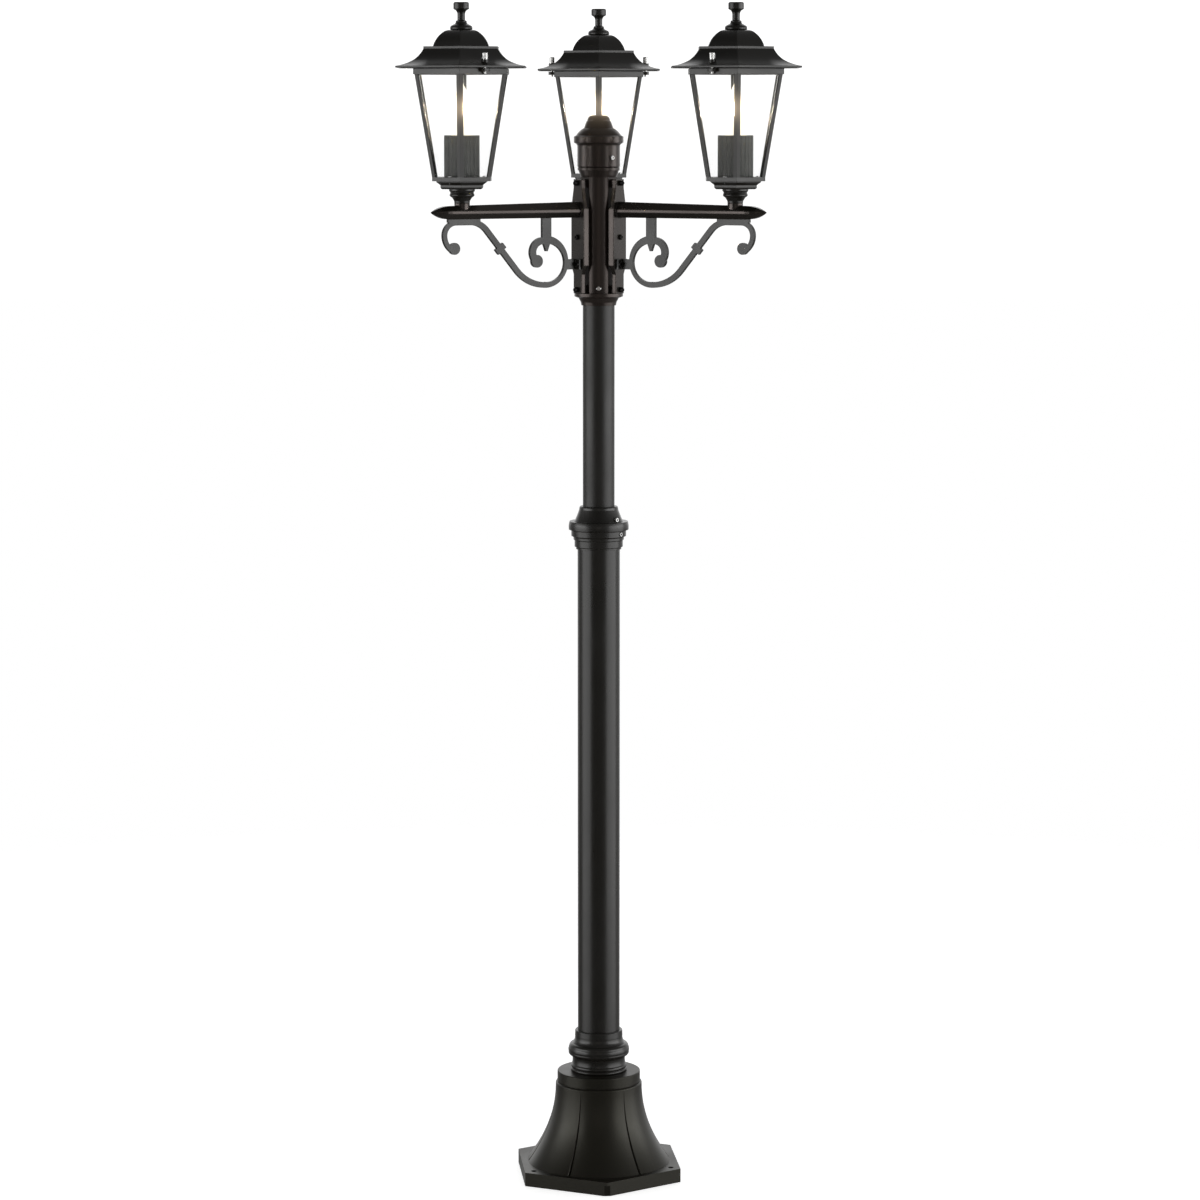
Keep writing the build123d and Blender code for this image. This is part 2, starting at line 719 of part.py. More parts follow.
def curl_lines():
    """The outer curl's middle line; its inner side runs on from the bar's underside."""
    top = -pad_depth - (bar_width - curl_width) / 2
    upper = arc_about((curl_place, top - curl_radius), curl_radius, 90, 0)
    side = curl_place + curl_radius - curl_lower_radius
    return [upper, arc_about((side, top - curl_radius), curl_lower_radius, 0, -curl_lower_turn)]


def scroll():
    lines = sweep_lines()
    slope = lines[1]
    shape = trace(lines, bar_width) + trace(curl_lines(), curl_width)
    ring_size = 2 * ring_outer[2]
    behind = Pos(ring_outer[0] + ring_outer[2], ring_outer[1]) * Rectangle(ring_size, ring_size)
    shape += round_spot(ring_outer) - round_spot(ring_inner) - behind
    shape += trace(arc_about(inner_curl[:2], inner_curl[2], 105, -35), inner_curl_width)
    shape += round_spot(inner_blob) + round_spot(outer_blob)
    shape += Pos(pad_middle, -pad_depth / 2) * Rectangle(pad_span[1] - pad_span[0], pad_depth)
    stem_low = ring_inner[1] + ring_inner[2]
    stem_middle = sum(stem_span) / 2
    shape += Pos(stem_middle, stem_low / 2) * Rectangle(stem_span[1] - stem_span[0], -stem_low)
    half_spur = spur_width / 2
    half_tip = spur_tip / 2
    spur_low = stem_low - spur_length
    spur = [(-half_spur, stem_low + 1), (half_spur, stem_low + 1)]
    spur += [(half_tip, spur_low), (-half_tip, spur_low)]
    shape += Pos(stem_middle, 0) * make_face(Polyline(*spur, close=True))
    bump = slope @ ((bump_place - slope.start_point().X) / (slope_end - slope.start_point().X))
    shape += Pos(bump.X, bump.Y) * Rot(0, 0, slope_angle) * Rectangle(*bump_size)
    plane = Plane(origin=(0, 0, arm_underside), x_dir=(1, 0, 0), z_dir=(0, -1, 0))
    body = extrude(plane * shape, amount=bracket_thickness / 2, both=True)
    depth, width, height = foot_size
    foot_end = root_face + depth
    foot_span = (foot_z - height / 2, foot_z + height / 2)
    half = bracket_thickness / 2
    foot = block((root_face, foot_end), (-width / 2, width / 2), foot_span)
    foot += block((foot_end - 1, ring_inner[0] - ring_inner[2] - 2), (-half, half), foot_span)
    for side in (-1, 1):
        hole = radial(rod(screw_radius + bolt_gap, root_face - 1, foot_end + 1), 0, foot_z)
        foot -= Pos(0, side * foot_screw_offset, 0) * hole
    hole = rod(small_screw_radius + bolt_gap, pad_low - 1, arm_underside + 1)
    hole += rod(small_head_radius + slip_gap, pad_low - 1, pad_screw_z)
    return body + foot - Pos(pad_middle, 0, 0) * hole


# ------------------------------------------------------------------ lantern, built about its own axis
def lantern_base():
    z = lantern_z
    neck = turned(outline(
        (0, z), (boss_radius, z), (boss_radius + 0.3, z + 3), (boss_radius + 1.5, z + 5),
        (boss_radius + 3.4, z + 8), (boss_radius + 6.6, z + 10.2),
        ((boss_radius + 7.2, z + 12), (boss_radius + 6.6, z + 13.8)),
        (boss_radius + 6, z + 16), (boss_radius + 8, z + 18.6), (boss_radius + 8, z + 22), (0, z + 22),
    ))
    top = dish_top_apothem
    dish = six_sided(outline(
        (0, z + 21), (top - 9, z + 21), ((top - 6.8, z + 22.6), (top - 6.2, z + 25)),
        (top - 6.2, z + 27.2), (top - 3.2, z + 29.6), (top, z + 31.8), (top, z + dish_height),
        (0, z + dish_height),
    ))
    body = neck + dish
    body -= rod(sleeve_radius + slip_gap, z + dish_recess_floor, z + dish_height + 1)
    body -= rod(tube_thread_radius + bolt_gap, z - 1, z + dish_height)
    for spot in cage_screw_places:
        body -= spot * rod(small_screw_radius + bolt_gap, cage_z - thread_depth - 1, cage_z + 1)
    return body


cage_screw_radius = (ring_hole_radius + dish_top_apothem) / 2
cage_screw_places = [Rot(0, 0, 30 + 120 * i) * Pos(cage_screw_radius, 0, 0) for i in range(3)]


def frustum(inset, low, high):
    """The cage's tapered hexagon, drawn in by a horizontal inset."""
    face = outline(
        (0, low), (cage_bottom_apothem - inset, low), (cage_top_apothem - inset, high), (0, high),
    )
    return six_sided(face)


def side_prism(edge_inset):
    """A prism through one side of the cage, its edges held in from the side's corners."""
    low_half = cage_bottom_apothem * hex_tan - edge_inset
    high_half = cage_top_apothem * hex_tan - edge_inset
    low = glass_bottom
    high = band_z
    corners = [(-low_half, low), (low_half, low), (high_half, high), (-high_half, high)]
    face = make_face(Polyline(*corners, close=True))
    plane = Plane(origin=(0, 0, 0), x_dir=(0, 1, 0), z_dir=(1, 0, 0))
    prism = extrude(plane * face, amount=2 * band_apothem)
    return Rot(0, 0, 30) * prism


def cage():
    ribs = frustum(0, glass_bottom, band_z) - frustum(rib_thickness, glass_bottom, band_z)
    for window in sixfold(side_prism(rib_flange)):
        ribs -= window
    ring = hex_prism(cage_bottom_apothem, cage_z, glass_bottom)
    ring -= rod(ring_hole_radius, cage_z, glass_bottom)
    band_inner = cage_top_apothem - rib_thickness - pane_thickness - band_lip
    band_top = band_z + band_height
    band = hex_prism(band_apothem, band_z, band_top) - hex_prism(band_inner, band_z, band_top)
    body = ribs + ring + band
    for angle in (90, 270):
        half = lug_width / 2
        lug_end = band_apothem + lug_reach
        lug = block((band_apothem - 2, lug_end), (-half, half), (band_top - lug_thickness, band_top))
        lug = chamfer(lug.edges().filter_by(Axis.Z).group_by(Axis.X)[-1], lug_corner)
        lug -= Pos(thumb_screw_circle, 0, 0) * rod(screw_radius + slip_gap, band_z, band_top + 1)
        body += Rot(0, 0, angle) * lug
    for spot in cage_screw_places:
        body -= spot * rod(small_screw_radius + bolt_gap, cage_z - 1, glass_bottom + 1)
    return body


def glass_panes():
    shell = frustum(rib_thickness, glass_bottom, band_z)
    shell -= frustum(rib_thickness + pane_thickness, glass_bottom, band_z)
    edge = (rib_thickness + pane_thickness) * hex_tan + pane_corner_gap
    pane = shell & side_prism(edge)
    return sixfold(pane)


def roof_seal():
    outer = band_apothem - seal_inset
    low = band_z + band_height
    return hex_prism(outer, low, roof_z) - hex_prism(outer - seat_width, low, roof_z)


def roof_outline(inset):
    """The roof's (apothem, height) outline, drawn in and down by an inset: flared eave, slope, ledge
    and rounded dome."""
    def point(x, y):
        return (x - inset, y - inset)
    eave = (eave_apothem, eave_thickness)
    ledge_low = (ledge_apothem, ledge_height - ledge_edge)
    shoulder = (crown_apothem + 4.8, roof_height - 1.6)
    sag = ((eave[0] + knee[0]) / 2, (eave[1] + knee[1]) / 2 - 1.4)
    slope = ((knee[0] + ledge_low[0]) / 2 - 1.2, (knee[1] + ledge_low[1]) / 2 - 1.0)
    dome = ((dome_apothem + shoulder[0]) / 2 + 2.2, (ledge_height + shoulder[1]) / 2 + 2.0)
    low = -2 * inset
    return outline(
        (0, low), (eave[0] - inset, low), point(*eave), (point(*sag), point(*knee)),
        (point(*slope), point(*ledge_low)), point(ledge_apothem, ledge_height),
        point(dome_apothem, ledge_height), (point(*dome), point(*shoulder)),
        point(crown_apothem, roof_height), (0, roof_height - inset),
    )


def roof():
    outer = six_sided(Pos(0, roof_z) * roof_outline(0))
    inner = six_sided(Pos(0, roof_z) * roof_outline(roof_skin))
    seat_outer = band_apothem - seal_inset
    seat_top = roof_z + roof_height
    seat = hex_prism(seat_outer, roof_z, seat_top) - hex_prism(seat_outer - seat_width, roof_z, seat_top)
    body = (outer - inner) + (seat & outer)
    boss_top = roof_z + thumb_boss_top
    for angle in (90, 270):
        spot = Rot(0, 0, angle) * Pos(thumb_screw_circle, 0, 0)
        body += spot * rod(thumb_boss_radius, boss_top - thumb_boss_height, boss_top)
        body -= spot * rod(screw_radius + slip_gap, roof_z, boss_top + 1)
    return body - rod(stud_radius + bolt_gap, roof_z, roof_z + roof_height + 1)


def finial():
    z = roof_z + roof_height
    disc = finial_disc_radius
    stem = finial_stem_radius
    knob = finial_knob_radius
    top = z + finial_height
    body = turned(outline(
        (0, z), (disc - 0.6, z), ((disc + 0.2, z + 3), (disc - 0.8, z + 6)), (disc - 4.4, z + 8.2),
        ((disc - 7.6, z + 10), (disc - 8.6, z + 13.6)), (stem, z + 15), (stem, top - 17.8),
        ((stem + 0.9, top - 14.6), (stem + 3, top - 12)), (knob - 0.4, top - 10.6),
        (knob, top - 9.6), (knob, top - 1.6), (knob - 1.2, top), (0, top),
    ))
    nut_top = z - roof_skin
    nut = hex_nut(stud_radius + bolt_gap, nut_top - nut_height)
    return [body + rod(stud_radius, z - stud_length, z + 1), nut]


def thumb_screw():
    seat = roof_z + thumb_boss_top
    head = rod(thumb_head_radius, seat, seat + thumb_head_height)
    head = chamfer(head.edges().group_by(Axis.Z)[-1], thumb_edge)
    for i in range(thumb_teeth):
        cut = Rot(0, 0, 360 * i / thumb_teeth) * Pos(thumb_head_radius + tooth_radius / 2, 0, 0)
        head -= cut * rod(tooth_radius, seat + tooth_start, seat + thumb_head_height)
    tip = band_z + band_height - lug_thickness - thumb_reach
    return head + rod(screw_radius, tip, seat)


def lamp_sleeve():
    face = Circle(sleeve_radius) - Circle(sleeve_radius - sleeve_wall)
    flutes = PolarLocations(sleeve_radius + flute_radius * 0.4, sleeve_flutes)
    face -= flutes * Circle(flute_radius)
    return Pos(0, 0, sleeve_z) * extrude(face, amount=sleeve_height)


def lampholder():
    low = holder_z
    top = holder_z + holder_height
    bore = bulb_cap_radius + bulb_cap_gap
    step = low + holder_step
    body = turned(outline(
        (0, low), (holder_radius - 3, low), (holder_radius, low + 3), (holder_radius, step),
        (holder_radius - 1.5, step + 1.5), (holder_radius - 1.5, top - 1.5),
        (holder_radius - 3, top), (0, top),
    ))
    body -= rod(bore, bulb_z, top + 1)
    body -= rod(tube_thread_radius + bolt_gap, low - 1, low + nipple_top - holder_z)
    return body


nipple_top = holder_z + nipple_reach


def bulb_cap():
    ridge = bulb_cap_radius
    root = ridge - bulb_thread_depth
    start = bulb_z + bulb_thread_start
    points = [(0, bulb_z + 0.4), (4.5, bulb_z + 0.4), (5, bulb_z + 2.4), (9.5, bulb_z + 4.4), (root, start)]
    for i in range(bulb_thread_turns):
        low = start + i * bulb_thread_pitch
        points += [(root, low + 0.6), (ridge, low + 1.5), (ridge, low + 2.1), (root, low + 3.0)]
    points += [(root, bulb_z + bulb_cap_height), (0, bulb_z + bulb_cap_height)]
    return turned(outline(*points))


def bulb_glass():
    """A candle-shaped envelope with a small round tip, an even wall thick all over."""
    z = bulb_z + bulb_cap_height
    neck = bulb_cap_radius - bulb_neck_step
    belly = bulb_glass_radius
    height = bulb_glass_height
    tip_low = z + height - bulb_tip_radius

    def envelope(inset):
        def point(radius, share):
            return (radius - inset, z + height * share)
        tip = bulb_tip_radius - inset
        return turned(outline(
            (0, z), point(neck, 0), (point(belly * 0.93, 0.15), point(belly, 0.34)),
            (point(belly * 0.88, 0.57), point(belly * 0.62, 0.76)),
            (point(belly * 0.44, 0.87), (tip, tip_low)),
            ((tip * cos(radians(45)), tip_low + tip * sin(radians(45))), (0, tip_low + tip)),
        ))

    return envelope(0) - envelope(bulb_glass_wall)


# ------------------------------------------------------------------ fasteners
def place(shape, side):
    """Put a shape built about the lantern's axis at the end of an arm."""
    return Rot(0, 0, arm_angles[side]) * Pos(arm_reach, 0, 0) * shape


def round_the_hub(shape):
    """One copy of a shape at each arm."""
    return [Rot(0, 0, angle) * shape for angle in arm_angles.values()]


def hex_nuts():
    nuts = [place(hex_nut(tube_thread_radius + bolt_gap, sleeve_z), side) for side in arm_angles]
    return nuts + [hex_nut(tube_thread_radius + bolt_gap, socket_floor - web_thickness - nut_height)]


def nipples():
    nipple = tube(tube_thread_radius, tube_thread_bore, ridge_z + arm_bore_radius, nipple_top)
    return [place(nipple, side) for side in arm_angles]


def set_screw(inner, seat):
    return screw(screw_radius, screw_head_radius, screw_head_height, inner, seat)


def set_screws():
    places = [
        (lower_pole_radius, collar_screw_seat, 90, collar_screw_z),
        (lower_pole_radius, coupling_screw_seat, coupling_screw_angle, coupling_screw_z),
        (upper_pole_radius, cone_screw_seat, cone_screw_angle, cone_screw_z),
        (hub_core_radius - 2 * thread_depth, hub_core_radius, hub_screw_angle, hub_screw_z),
    ]
    return [radial(set_screw(tip, seat), angle, height) for tip, seat, angle, height in places]


def cap_screw():
    screw_body = set_screw(cap_inner_radius, cap_inner_radius + cap_wall)
    return radial(screw_body, cap_screw_angle, cap_screw_z)


def arm_screw(height, head_height):
    body = screw(bolt_radius, bolt_head_radius, head_height, hub_wire_radius + 1, root_face)
    return radial(body, 0, height)


def ear_screws():
    screws = [arm_screw(height, ear_head_height) for height in ear_screw_heights]
    return [copy for one in screws for copy in round_the_hub(one)]


def arm_bolts():
    return round_the_hub(arm_screw(root_bolt_z, bolt_head_height))


def scroll_screws():
    one = radial(set_screw(root_face - thread_depth, root_face + foot_size[0]), 0, foot_z)
    pair = [Pos(0, side * foot_screw_offset, 0) * one for side in (-1, 1)]
    return [copy for one in pair for copy in round_the_hub(one)]


def small_screws():
    """The screws of the cages, and those that hold the scrolls up under the arms."""
    size = (small_screw_radius, small_head_radius, small_head_height)
    cage_screw = screw(*size, cage_z - thread_depth, glass_bottom)
    pad_screw = screw(*size, -arm_underside - thread_depth, -pad_screw_z)
    screws = [place(spot * cage_screw, side) for side in arm_angles for spot in cage_screw_places]
    return screws + round_the_hub(Pos(pad_middle, 0, 0) * Rot(180, 0, 0) * pad_screw)


# ------------------------------------------------------------------ write the nodes
def write(name, shapes):
    """Write one node: a single solid, or a group of separate ones."""
    group = shapes if isinstance(shapes, list) else [shapes]
    solids = [solid for shape in group for solid in shape.solids()]
    export_step(solids[0] if len(solids) == 1 else Compound(children=solids), f"parts/{name}.step")


def main():
    os.makedirs("parts", exist_ok=True)
    post = {
        "base_casting": base_casting, "base_tie": base_tie, "pole_plug": pole_plug,
        "bottom_collar": bottom_collar, "lower_pole": lower_pole, "coupling": coupling,
        "coupling_cone": coupling_cone, "upper_pole": upper_pole, "hub": hub, "hub_cap": hub_cap,
        "cap_screw": cap_screw, "terminal_plate": terminal_plate, "terminal_block": terminal_block,
        "hex_nuts": hex_nuts, "nipples": nipples, "set_screws": set_screws, "ear_screws": ear_screws,
        "arm_bolts": arm_bolts, "scroll_screws": scroll_screws, "small_screws": small_screws,
    }
    for name, build in post.items():
        write(name, build())
    write("roof_seals", [place(roof_seal(), side) for side in arm_angles])
    for name, build in (("arm", arm), ("scroll", scroll)):
        shape = build()
        for side, angle in arm_angles.items():
            write(f"{name}_{side}", Rot(0, 0, angle) * shape)
    lantern = {
        "lantern_base": lantern_base, "cage": cage, "glass_panes": glass_panes, "roof": roof,
        "finial": finial, "lamp_sleeve": lamp_sleeve, "lampholder": lampholder,
        "bulb_cap": bulb_cap, "bulb_glass": bulb_glass,
    }
    for name, build in lantern.items():
        shapes = build()
        group = shapes if isinstance(shapes, list) else [shapes]
        for side in arm_angles:
            write(f"{name}_{side}", [place(shape, side) for shape in group])
    one_screw = thumb_screw()
    for side in arm_angles:
        for label, angle in (("a", 90), ("b", 270)):
            seat = Rot(0, 0, angle) * Pos(thumb_screw_circle, 0, 0)
            write(f"thumb_screw_{side}_{label}", place(seat * one_screw, side))


main()
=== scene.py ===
"""Triple head lamp post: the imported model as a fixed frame, its finishes, and the pieces that only show.

Metres, +Z up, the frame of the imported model. The origin is on the pole's axis at the ground.
"""

import logging
import math
from dataclasses import dataclass
from enum import Enum
from typing import ClassVar, Iterable, Sequence

import bmesh
import bpy
from mathutils import Matrix, Vector


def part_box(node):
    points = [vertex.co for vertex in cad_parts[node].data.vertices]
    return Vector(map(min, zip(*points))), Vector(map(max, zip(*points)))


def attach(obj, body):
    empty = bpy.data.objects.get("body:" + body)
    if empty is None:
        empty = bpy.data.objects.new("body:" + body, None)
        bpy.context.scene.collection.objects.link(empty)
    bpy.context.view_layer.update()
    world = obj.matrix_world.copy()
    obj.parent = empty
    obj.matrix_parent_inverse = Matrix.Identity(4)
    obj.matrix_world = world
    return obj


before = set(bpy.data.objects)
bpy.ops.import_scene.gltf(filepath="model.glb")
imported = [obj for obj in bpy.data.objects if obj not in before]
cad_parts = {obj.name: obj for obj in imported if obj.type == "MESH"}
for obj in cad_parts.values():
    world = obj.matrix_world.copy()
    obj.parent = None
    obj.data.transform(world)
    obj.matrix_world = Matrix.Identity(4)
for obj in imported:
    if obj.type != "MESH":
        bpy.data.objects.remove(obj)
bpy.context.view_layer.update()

MM = 0.001

log = logging.getLogger("lamp_post")

Colour = tuple[float, float, float, float]
Light = tuple[float, float, float]
Point = tuple[float, float, float]
Ring = list[bmesh.types.BMVert]

WHITE: Colour = (1.0, 1.0, 1.0, 1.0)
WIDE = (0.3, 0.7)           # a noise lies almost wholly between these
NARROW = (0.35, 0.65)       # and mostly between these


class Side(Enum):
    """The three arms, each with the angle that it points at, in degrees from +X."""

    LEFT = 210.0
    RIGHT = 330.0
    REAR = 90.0

    @property
    def label(self) -> str:
        """The side's word in the names of its nodes."""
        return self.name.lower()

    def node(self, stem: str) -> str:
        """The name of this side's node of one kind."""
        return f"{stem}_{self.label}"


# ------------------------------------------------------------------ node trees
@dataclass(frozen=True)
class Ramp:
    """How one range of numbers becomes another, held at both ends."""

    low: float
    high: float
    to_low: float = 0.0
    to_high: float = 1.0


class NodeSketch:
    """Adds and joins shader nodes in one material's or world's tree."""

    def __init__(self, tree: bpy.types.NodeTree) -> None:
        """Start an empty tree.

        Args:
            tree: The node tree that is cleared and filled.
        """
        self.tree = tree
        tree.nodes.clear()

    def add(self, kind: str, settings: dict | None = None, **inputs: object) -> bpy.types.Node:
        """Add a node, set it up and feed its inputs.

        Args:
            kind: The node's Blender type name.
            settings: Properties of the node itself, by name.
            **inputs: Values or output sockets, by input name with spaces written as underscores.

        Returns:
            The new node.
        """
        node = self.tree.nodes.new(kind)
        for key, value in (settings or {}).items():
            setattr(node, key, value)
        for key, value in inputs.items():
            self.feed(node.inputs[key.replace("_", " ")], value)
        return node

    def feed(self, socket: bpy.types.NodeSocket, value: object) -> None:
        """Link an output to a socket, or set the socket's own value.

        Args:
            socket: The input socket.
            value: An output socket, or a plain value.
        """
        if isinstance(value, bpy.types.NodeSocket):
            self.tree.links.new(value, socket)
        else:
            socket.default_value = value

    def maths(self, operation: str, first: object, second: object = 0.0) -> bpy.types.NodeSocket:
        """One sum of two numbers.

        Args:
            operation: The Math node's operation.
            first: Number or output socket.
            second: Number or output socket.

        Returns:
            The result's socket.
        """
        node = self.tree.nodes.new("ShaderNodeMath")
        node.operation = operation
        self.feed(node.inputs[0], first)
        self.feed(node.inputs[1], second)
        return node.outputs[0]

    def spread(self, value: object, ramp: Ramp) -> bpy.types.NodeSocket:
        """Map a number from one range to another, held at both ends.

        Args:
            value: The output socket to map.
            ramp: Its range and what that becomes.

        Returns:
            The mapped number's socket.
        """
        node = self.tree.nodes.new("ShaderNodeMapRange")
        node.clamp = True
        for index, number in enumerate((value, ramp.low, ramp.high, ramp.to_low, ramp.to_high)):
            self.feed(node.inputs[index], number)
        return node.outputs[0]

    def blend(self, share: object, first: object, second: object) -> bpy.types.NodeSocket:
        """Mix two colours.

        Args:
            share: How much of the second, from 0 to 1.
            first: Colour or output socket.
            second: Colour or output socket.

        Returns:
            The mixed colour's socket.
        """
        node = self.tree.nodes.new("ShaderNodeMix")
        node.data_type = "RGBA"
        self.feed(node.inputs["Factor"], share)
        self.feed(node.inputs["A"], first)
        self.feed(node.inputs["B"], second)
        return node.outputs["Result"]

    def noise(
        self, scale: float, detail: float = 3.0, stretch: Point = (1.0, 1.0, 1.0)
    ) -> bpy.types.NodeSocket:
        """Noise in the object's own metres.

        Args:
            scale: Cells to a metre.
            detail: How many finer layers it has.
            stretch: How much denser it is along each axis.

        Returns:
            The noise value's socket.
        """
        place = self.add("ShaderNodeTexCoord").outputs["Object"]
        moved = self.add("ShaderNodeMapping", Vector=place, Scale=stretch).outputs["Vector"]
        node = self.add("ShaderNodeTexNoise", Vector=moved, Scale=scale, Detail=detail)
        return node.outputs["Fac"]

    def bump(
        self, height: object, depth: float, strength: float, normal: bpy.types.NodeSocket | None = None
    ) -> bpy.types.NodeSocket:
        """A bumped normal.

        Args:
            height: The height's socket, from 0 to 1.
            depth: Its real depth in metres.
            strength: How strongly it shows.
            normal: The normal that is bumped, if it isn't the surface's own.

        Returns:
            The normal's socket.
        """
        node = self.add("ShaderNodeBump", Strength=strength, Distance=depth, Height=height)
        if normal is not None:
            self.feed(node.inputs["Normal"], normal)
        return node.outputs["Normal"]


def new_material(name: str) -> tuple[bpy.types.Material, NodeSketch]:
    """Make an empty node material.

    Args:
        name: The material's name.

    Returns:
        The material and the sketch of its tree.
    """
    material = bpy.data.materials.new(name)
    material.use_nodes = True
    return material, NodeSketch(material.node_tree)


def close_surface(sketch: NodeSketch, shader: bpy.types.Node) -> None:
    """Join a shader to the material's output."""
    output = sketch.add("ShaderNodeOutputMaterial")
    sketch.tree.links.new(shader.outputs[0], output.inputs["Surface"])


# ------------------------------------------------------------------ finishes
@dataclass(frozen=True)
class PowderCoat:
    """Satin near-black powder coat with a fine orange peel and lightly rubbed edges."""

    name: str = "satin_black_coat"
    colour: Colour = (0.0085, 0.0077, 0.0060, 1.0)
    rubbed: Colour = (0.036, 0.034, 0.030, 1.0)
    roughness: float = 0.31
    roughness_change: float = 0.05
    peel_cells: float = 620.0
    peel_depth: float = 0.06 * MM
    peel_strength: float = 0.35
    grain_fineness: float = 4.0     # how much finer the grain is than the peel
    grain_share: float = 0.3
    mottle_cells: float = 14.0
    edge_reach: float = 0.7 * MM
    edge_ramp: Ramp = Ramp(0.995, 0.86)     # from how far the softened normal leans to how rubbed it is
    rub_ramp: Ramp = Ramp(*NARROW, 0.15, 0.8)
    softening: float = 0.0      # how far the look of the edges is rounded, where the casting is soft
    refraction: float = 1.5
    sheen: float = 0.5
    sheen_tint: Colour = WHITE

    def material(self) -> bpy.types.Material:
        """Build the coat's material.

        Returns:
            The material.
        """
        material, sketch = new_material(self.name)
        peel = sketch.noise(self.peel_cells, detail=2.0)
        mottle = sketch.noise(self.mottle_cells, detail=5.0)
        grain = sketch.noise(self.peel_cells * self.grain_fineness, detail=1.0)
        soft = sketch.add("ShaderNodeBevel", {"samples": 4}, Radius=self.edge_reach)
        sharp = sketch.add("ShaderNodeNewGeometry").outputs["Normal"]
        facing = sketch.add("ShaderNodeVectorMath", {"operation": "DOT_PRODUCT"})
        sketch.feed(facing.inputs[0], soft.outputs["Normal"])
        sketch.feed(facing.inputs[1], sharp)
        edge = sketch.spread(facing.outputs["Value"], self.edge_ramp)
        rub = sketch.maths("MULTIPLY", edge, sketch.spread(mottle, self.rub_ramp))
        colour = sketch.blend(rub, self.colour, self.rubbed)
        smoothest = self.roughness - self.roughness_change
        roughest = self.roughness + self.roughness_change
        rough = sketch.spread(mottle, Ramp(*WIDE, smoothest, roughest))
        height = sketch.maths("ADD", peel, sketch.maths("MULTIPLY", grain, self.grain_share))
        worn = soft
        if self.softening:
            worn = sketch.add("ShaderNodeBevel", {"samples": 6}, Radius=self.softening)
        normal = worn.outputs["Normal"]
        bump = sketch.bump(height, self.peel_depth, self.peel_strength, normal)
        shader = sketch.add("ShaderNodeBsdfPrincipled", Base_Color=colour, Roughness=rough, Normal=bump)
        shader.inputs["IOR"].default_value = self.refraction
        shader.inputs["Specular IOR Level"].default_value = self.sheen
        shader.inputs["Specular Tint"].default_value = self.sheen_tint
        close_surface(sketch, shader)
        return material


@dataclass(frozen=True)
class Metal:
    """A bare metal with fine tool marks and a slight change of tone."""

    name: str
    colour: Colour
    roughness: float
    mark_cells: float = 900.0
    mark_stretch: Point = (0.2, 0.2, 3.0)
    mark_depth: float = 0.02 * MM
    mark_strength: float = 0.3
    cloud_cells: float = 160.0
    shade_share: float = 0.7        # how light the darker patches are
    smoothest: float = 0.8          # both as a share of the roughness
    roughest: float = 1.25

    def material(self) -> bpy.types.Material:
        """Build the metal's material.

        Returns:
            The material.
        """
        material, sketch = new_material(self.name)
        marks = sketch.noise(self.mark_cells, detail=2.0, stretch=self.mark_stretch)
        cloud = sketch.noise(self.cloud_cells, detail=4.0)
        darker = tuple(c * self.shade_share for c in self.colour[:3]) + (1.0,)
        colour = sketch.blend(sketch.spread(cloud, Ramp(*WIDE)), self.colour, darker)
        smooth = self.roughness * self.smoothest
        rough = sketch.spread(marks, Ramp(*WIDE, smooth, self.roughness * self.roughest))
        bump = sketch.bump(marks, self.mark_depth, self.mark_strength)
        shader = sketch.add("ShaderNodeBsdfPrincipled", Base_Color=colour, Roughness=rough, Normal=bump)
        shader.inputs["Metallic"].default_value = 1.0
        close_surface(sketch, shader)
        return material


@dataclass(frozen=True)
class ClearPane:
    """Thin clear glass, hardly seen from the front and shining at a slant, with a little dust."""

    name: str = "clear_pane_glass"
    colour: Colour = (0.93, 0.96, 0.95, 1.0)
    roughness: float = 0.03
    refraction: float = 1.45
    slant_ramp: Ramp = Ramp(0.03, 0.9, 0.035, 0.55)     # from the reflected share to how dense it looks
    dust_cells: float = 45.0
    dust_ramp: Ramp = Ramp(0.55, 0.8, 0.0, 0.03)
    wave_cells: float = 12.0
    wave_depth: float = 0.25 * MM
    wave_strength: float = 0.15

    def material(self) -> bpy.types.Material:
        """Build the glass's material.

        Returns:
            The material.
        """
        material, sketch = new_material(self.name)
        slant = sketch.add("ShaderNodeFresnel", IOR=self.refraction).outputs["Fac"]
        dust = sketch.spread(sketch.noise(self.dust_cells, detail=6.0), self.dust_ramp)
        body = sketch.spread(slant, self.slant_ramp)
        alpha = sketch.maths("ADD", body, dust)
        wave = sketch.noise(self.wave_cells, detail=1.0)
        bump = sketch.bump(wave, self.wave_depth, self.wave_strength)
        shader = sketch.add(
            "ShaderNodeBsdfPrincipled",
            Base_Color=self.colour,
            Alpha=alpha,
            Normal=bump,
            Roughness=self.roughness,
        )
        close_surface(sketch, shader)
        return material


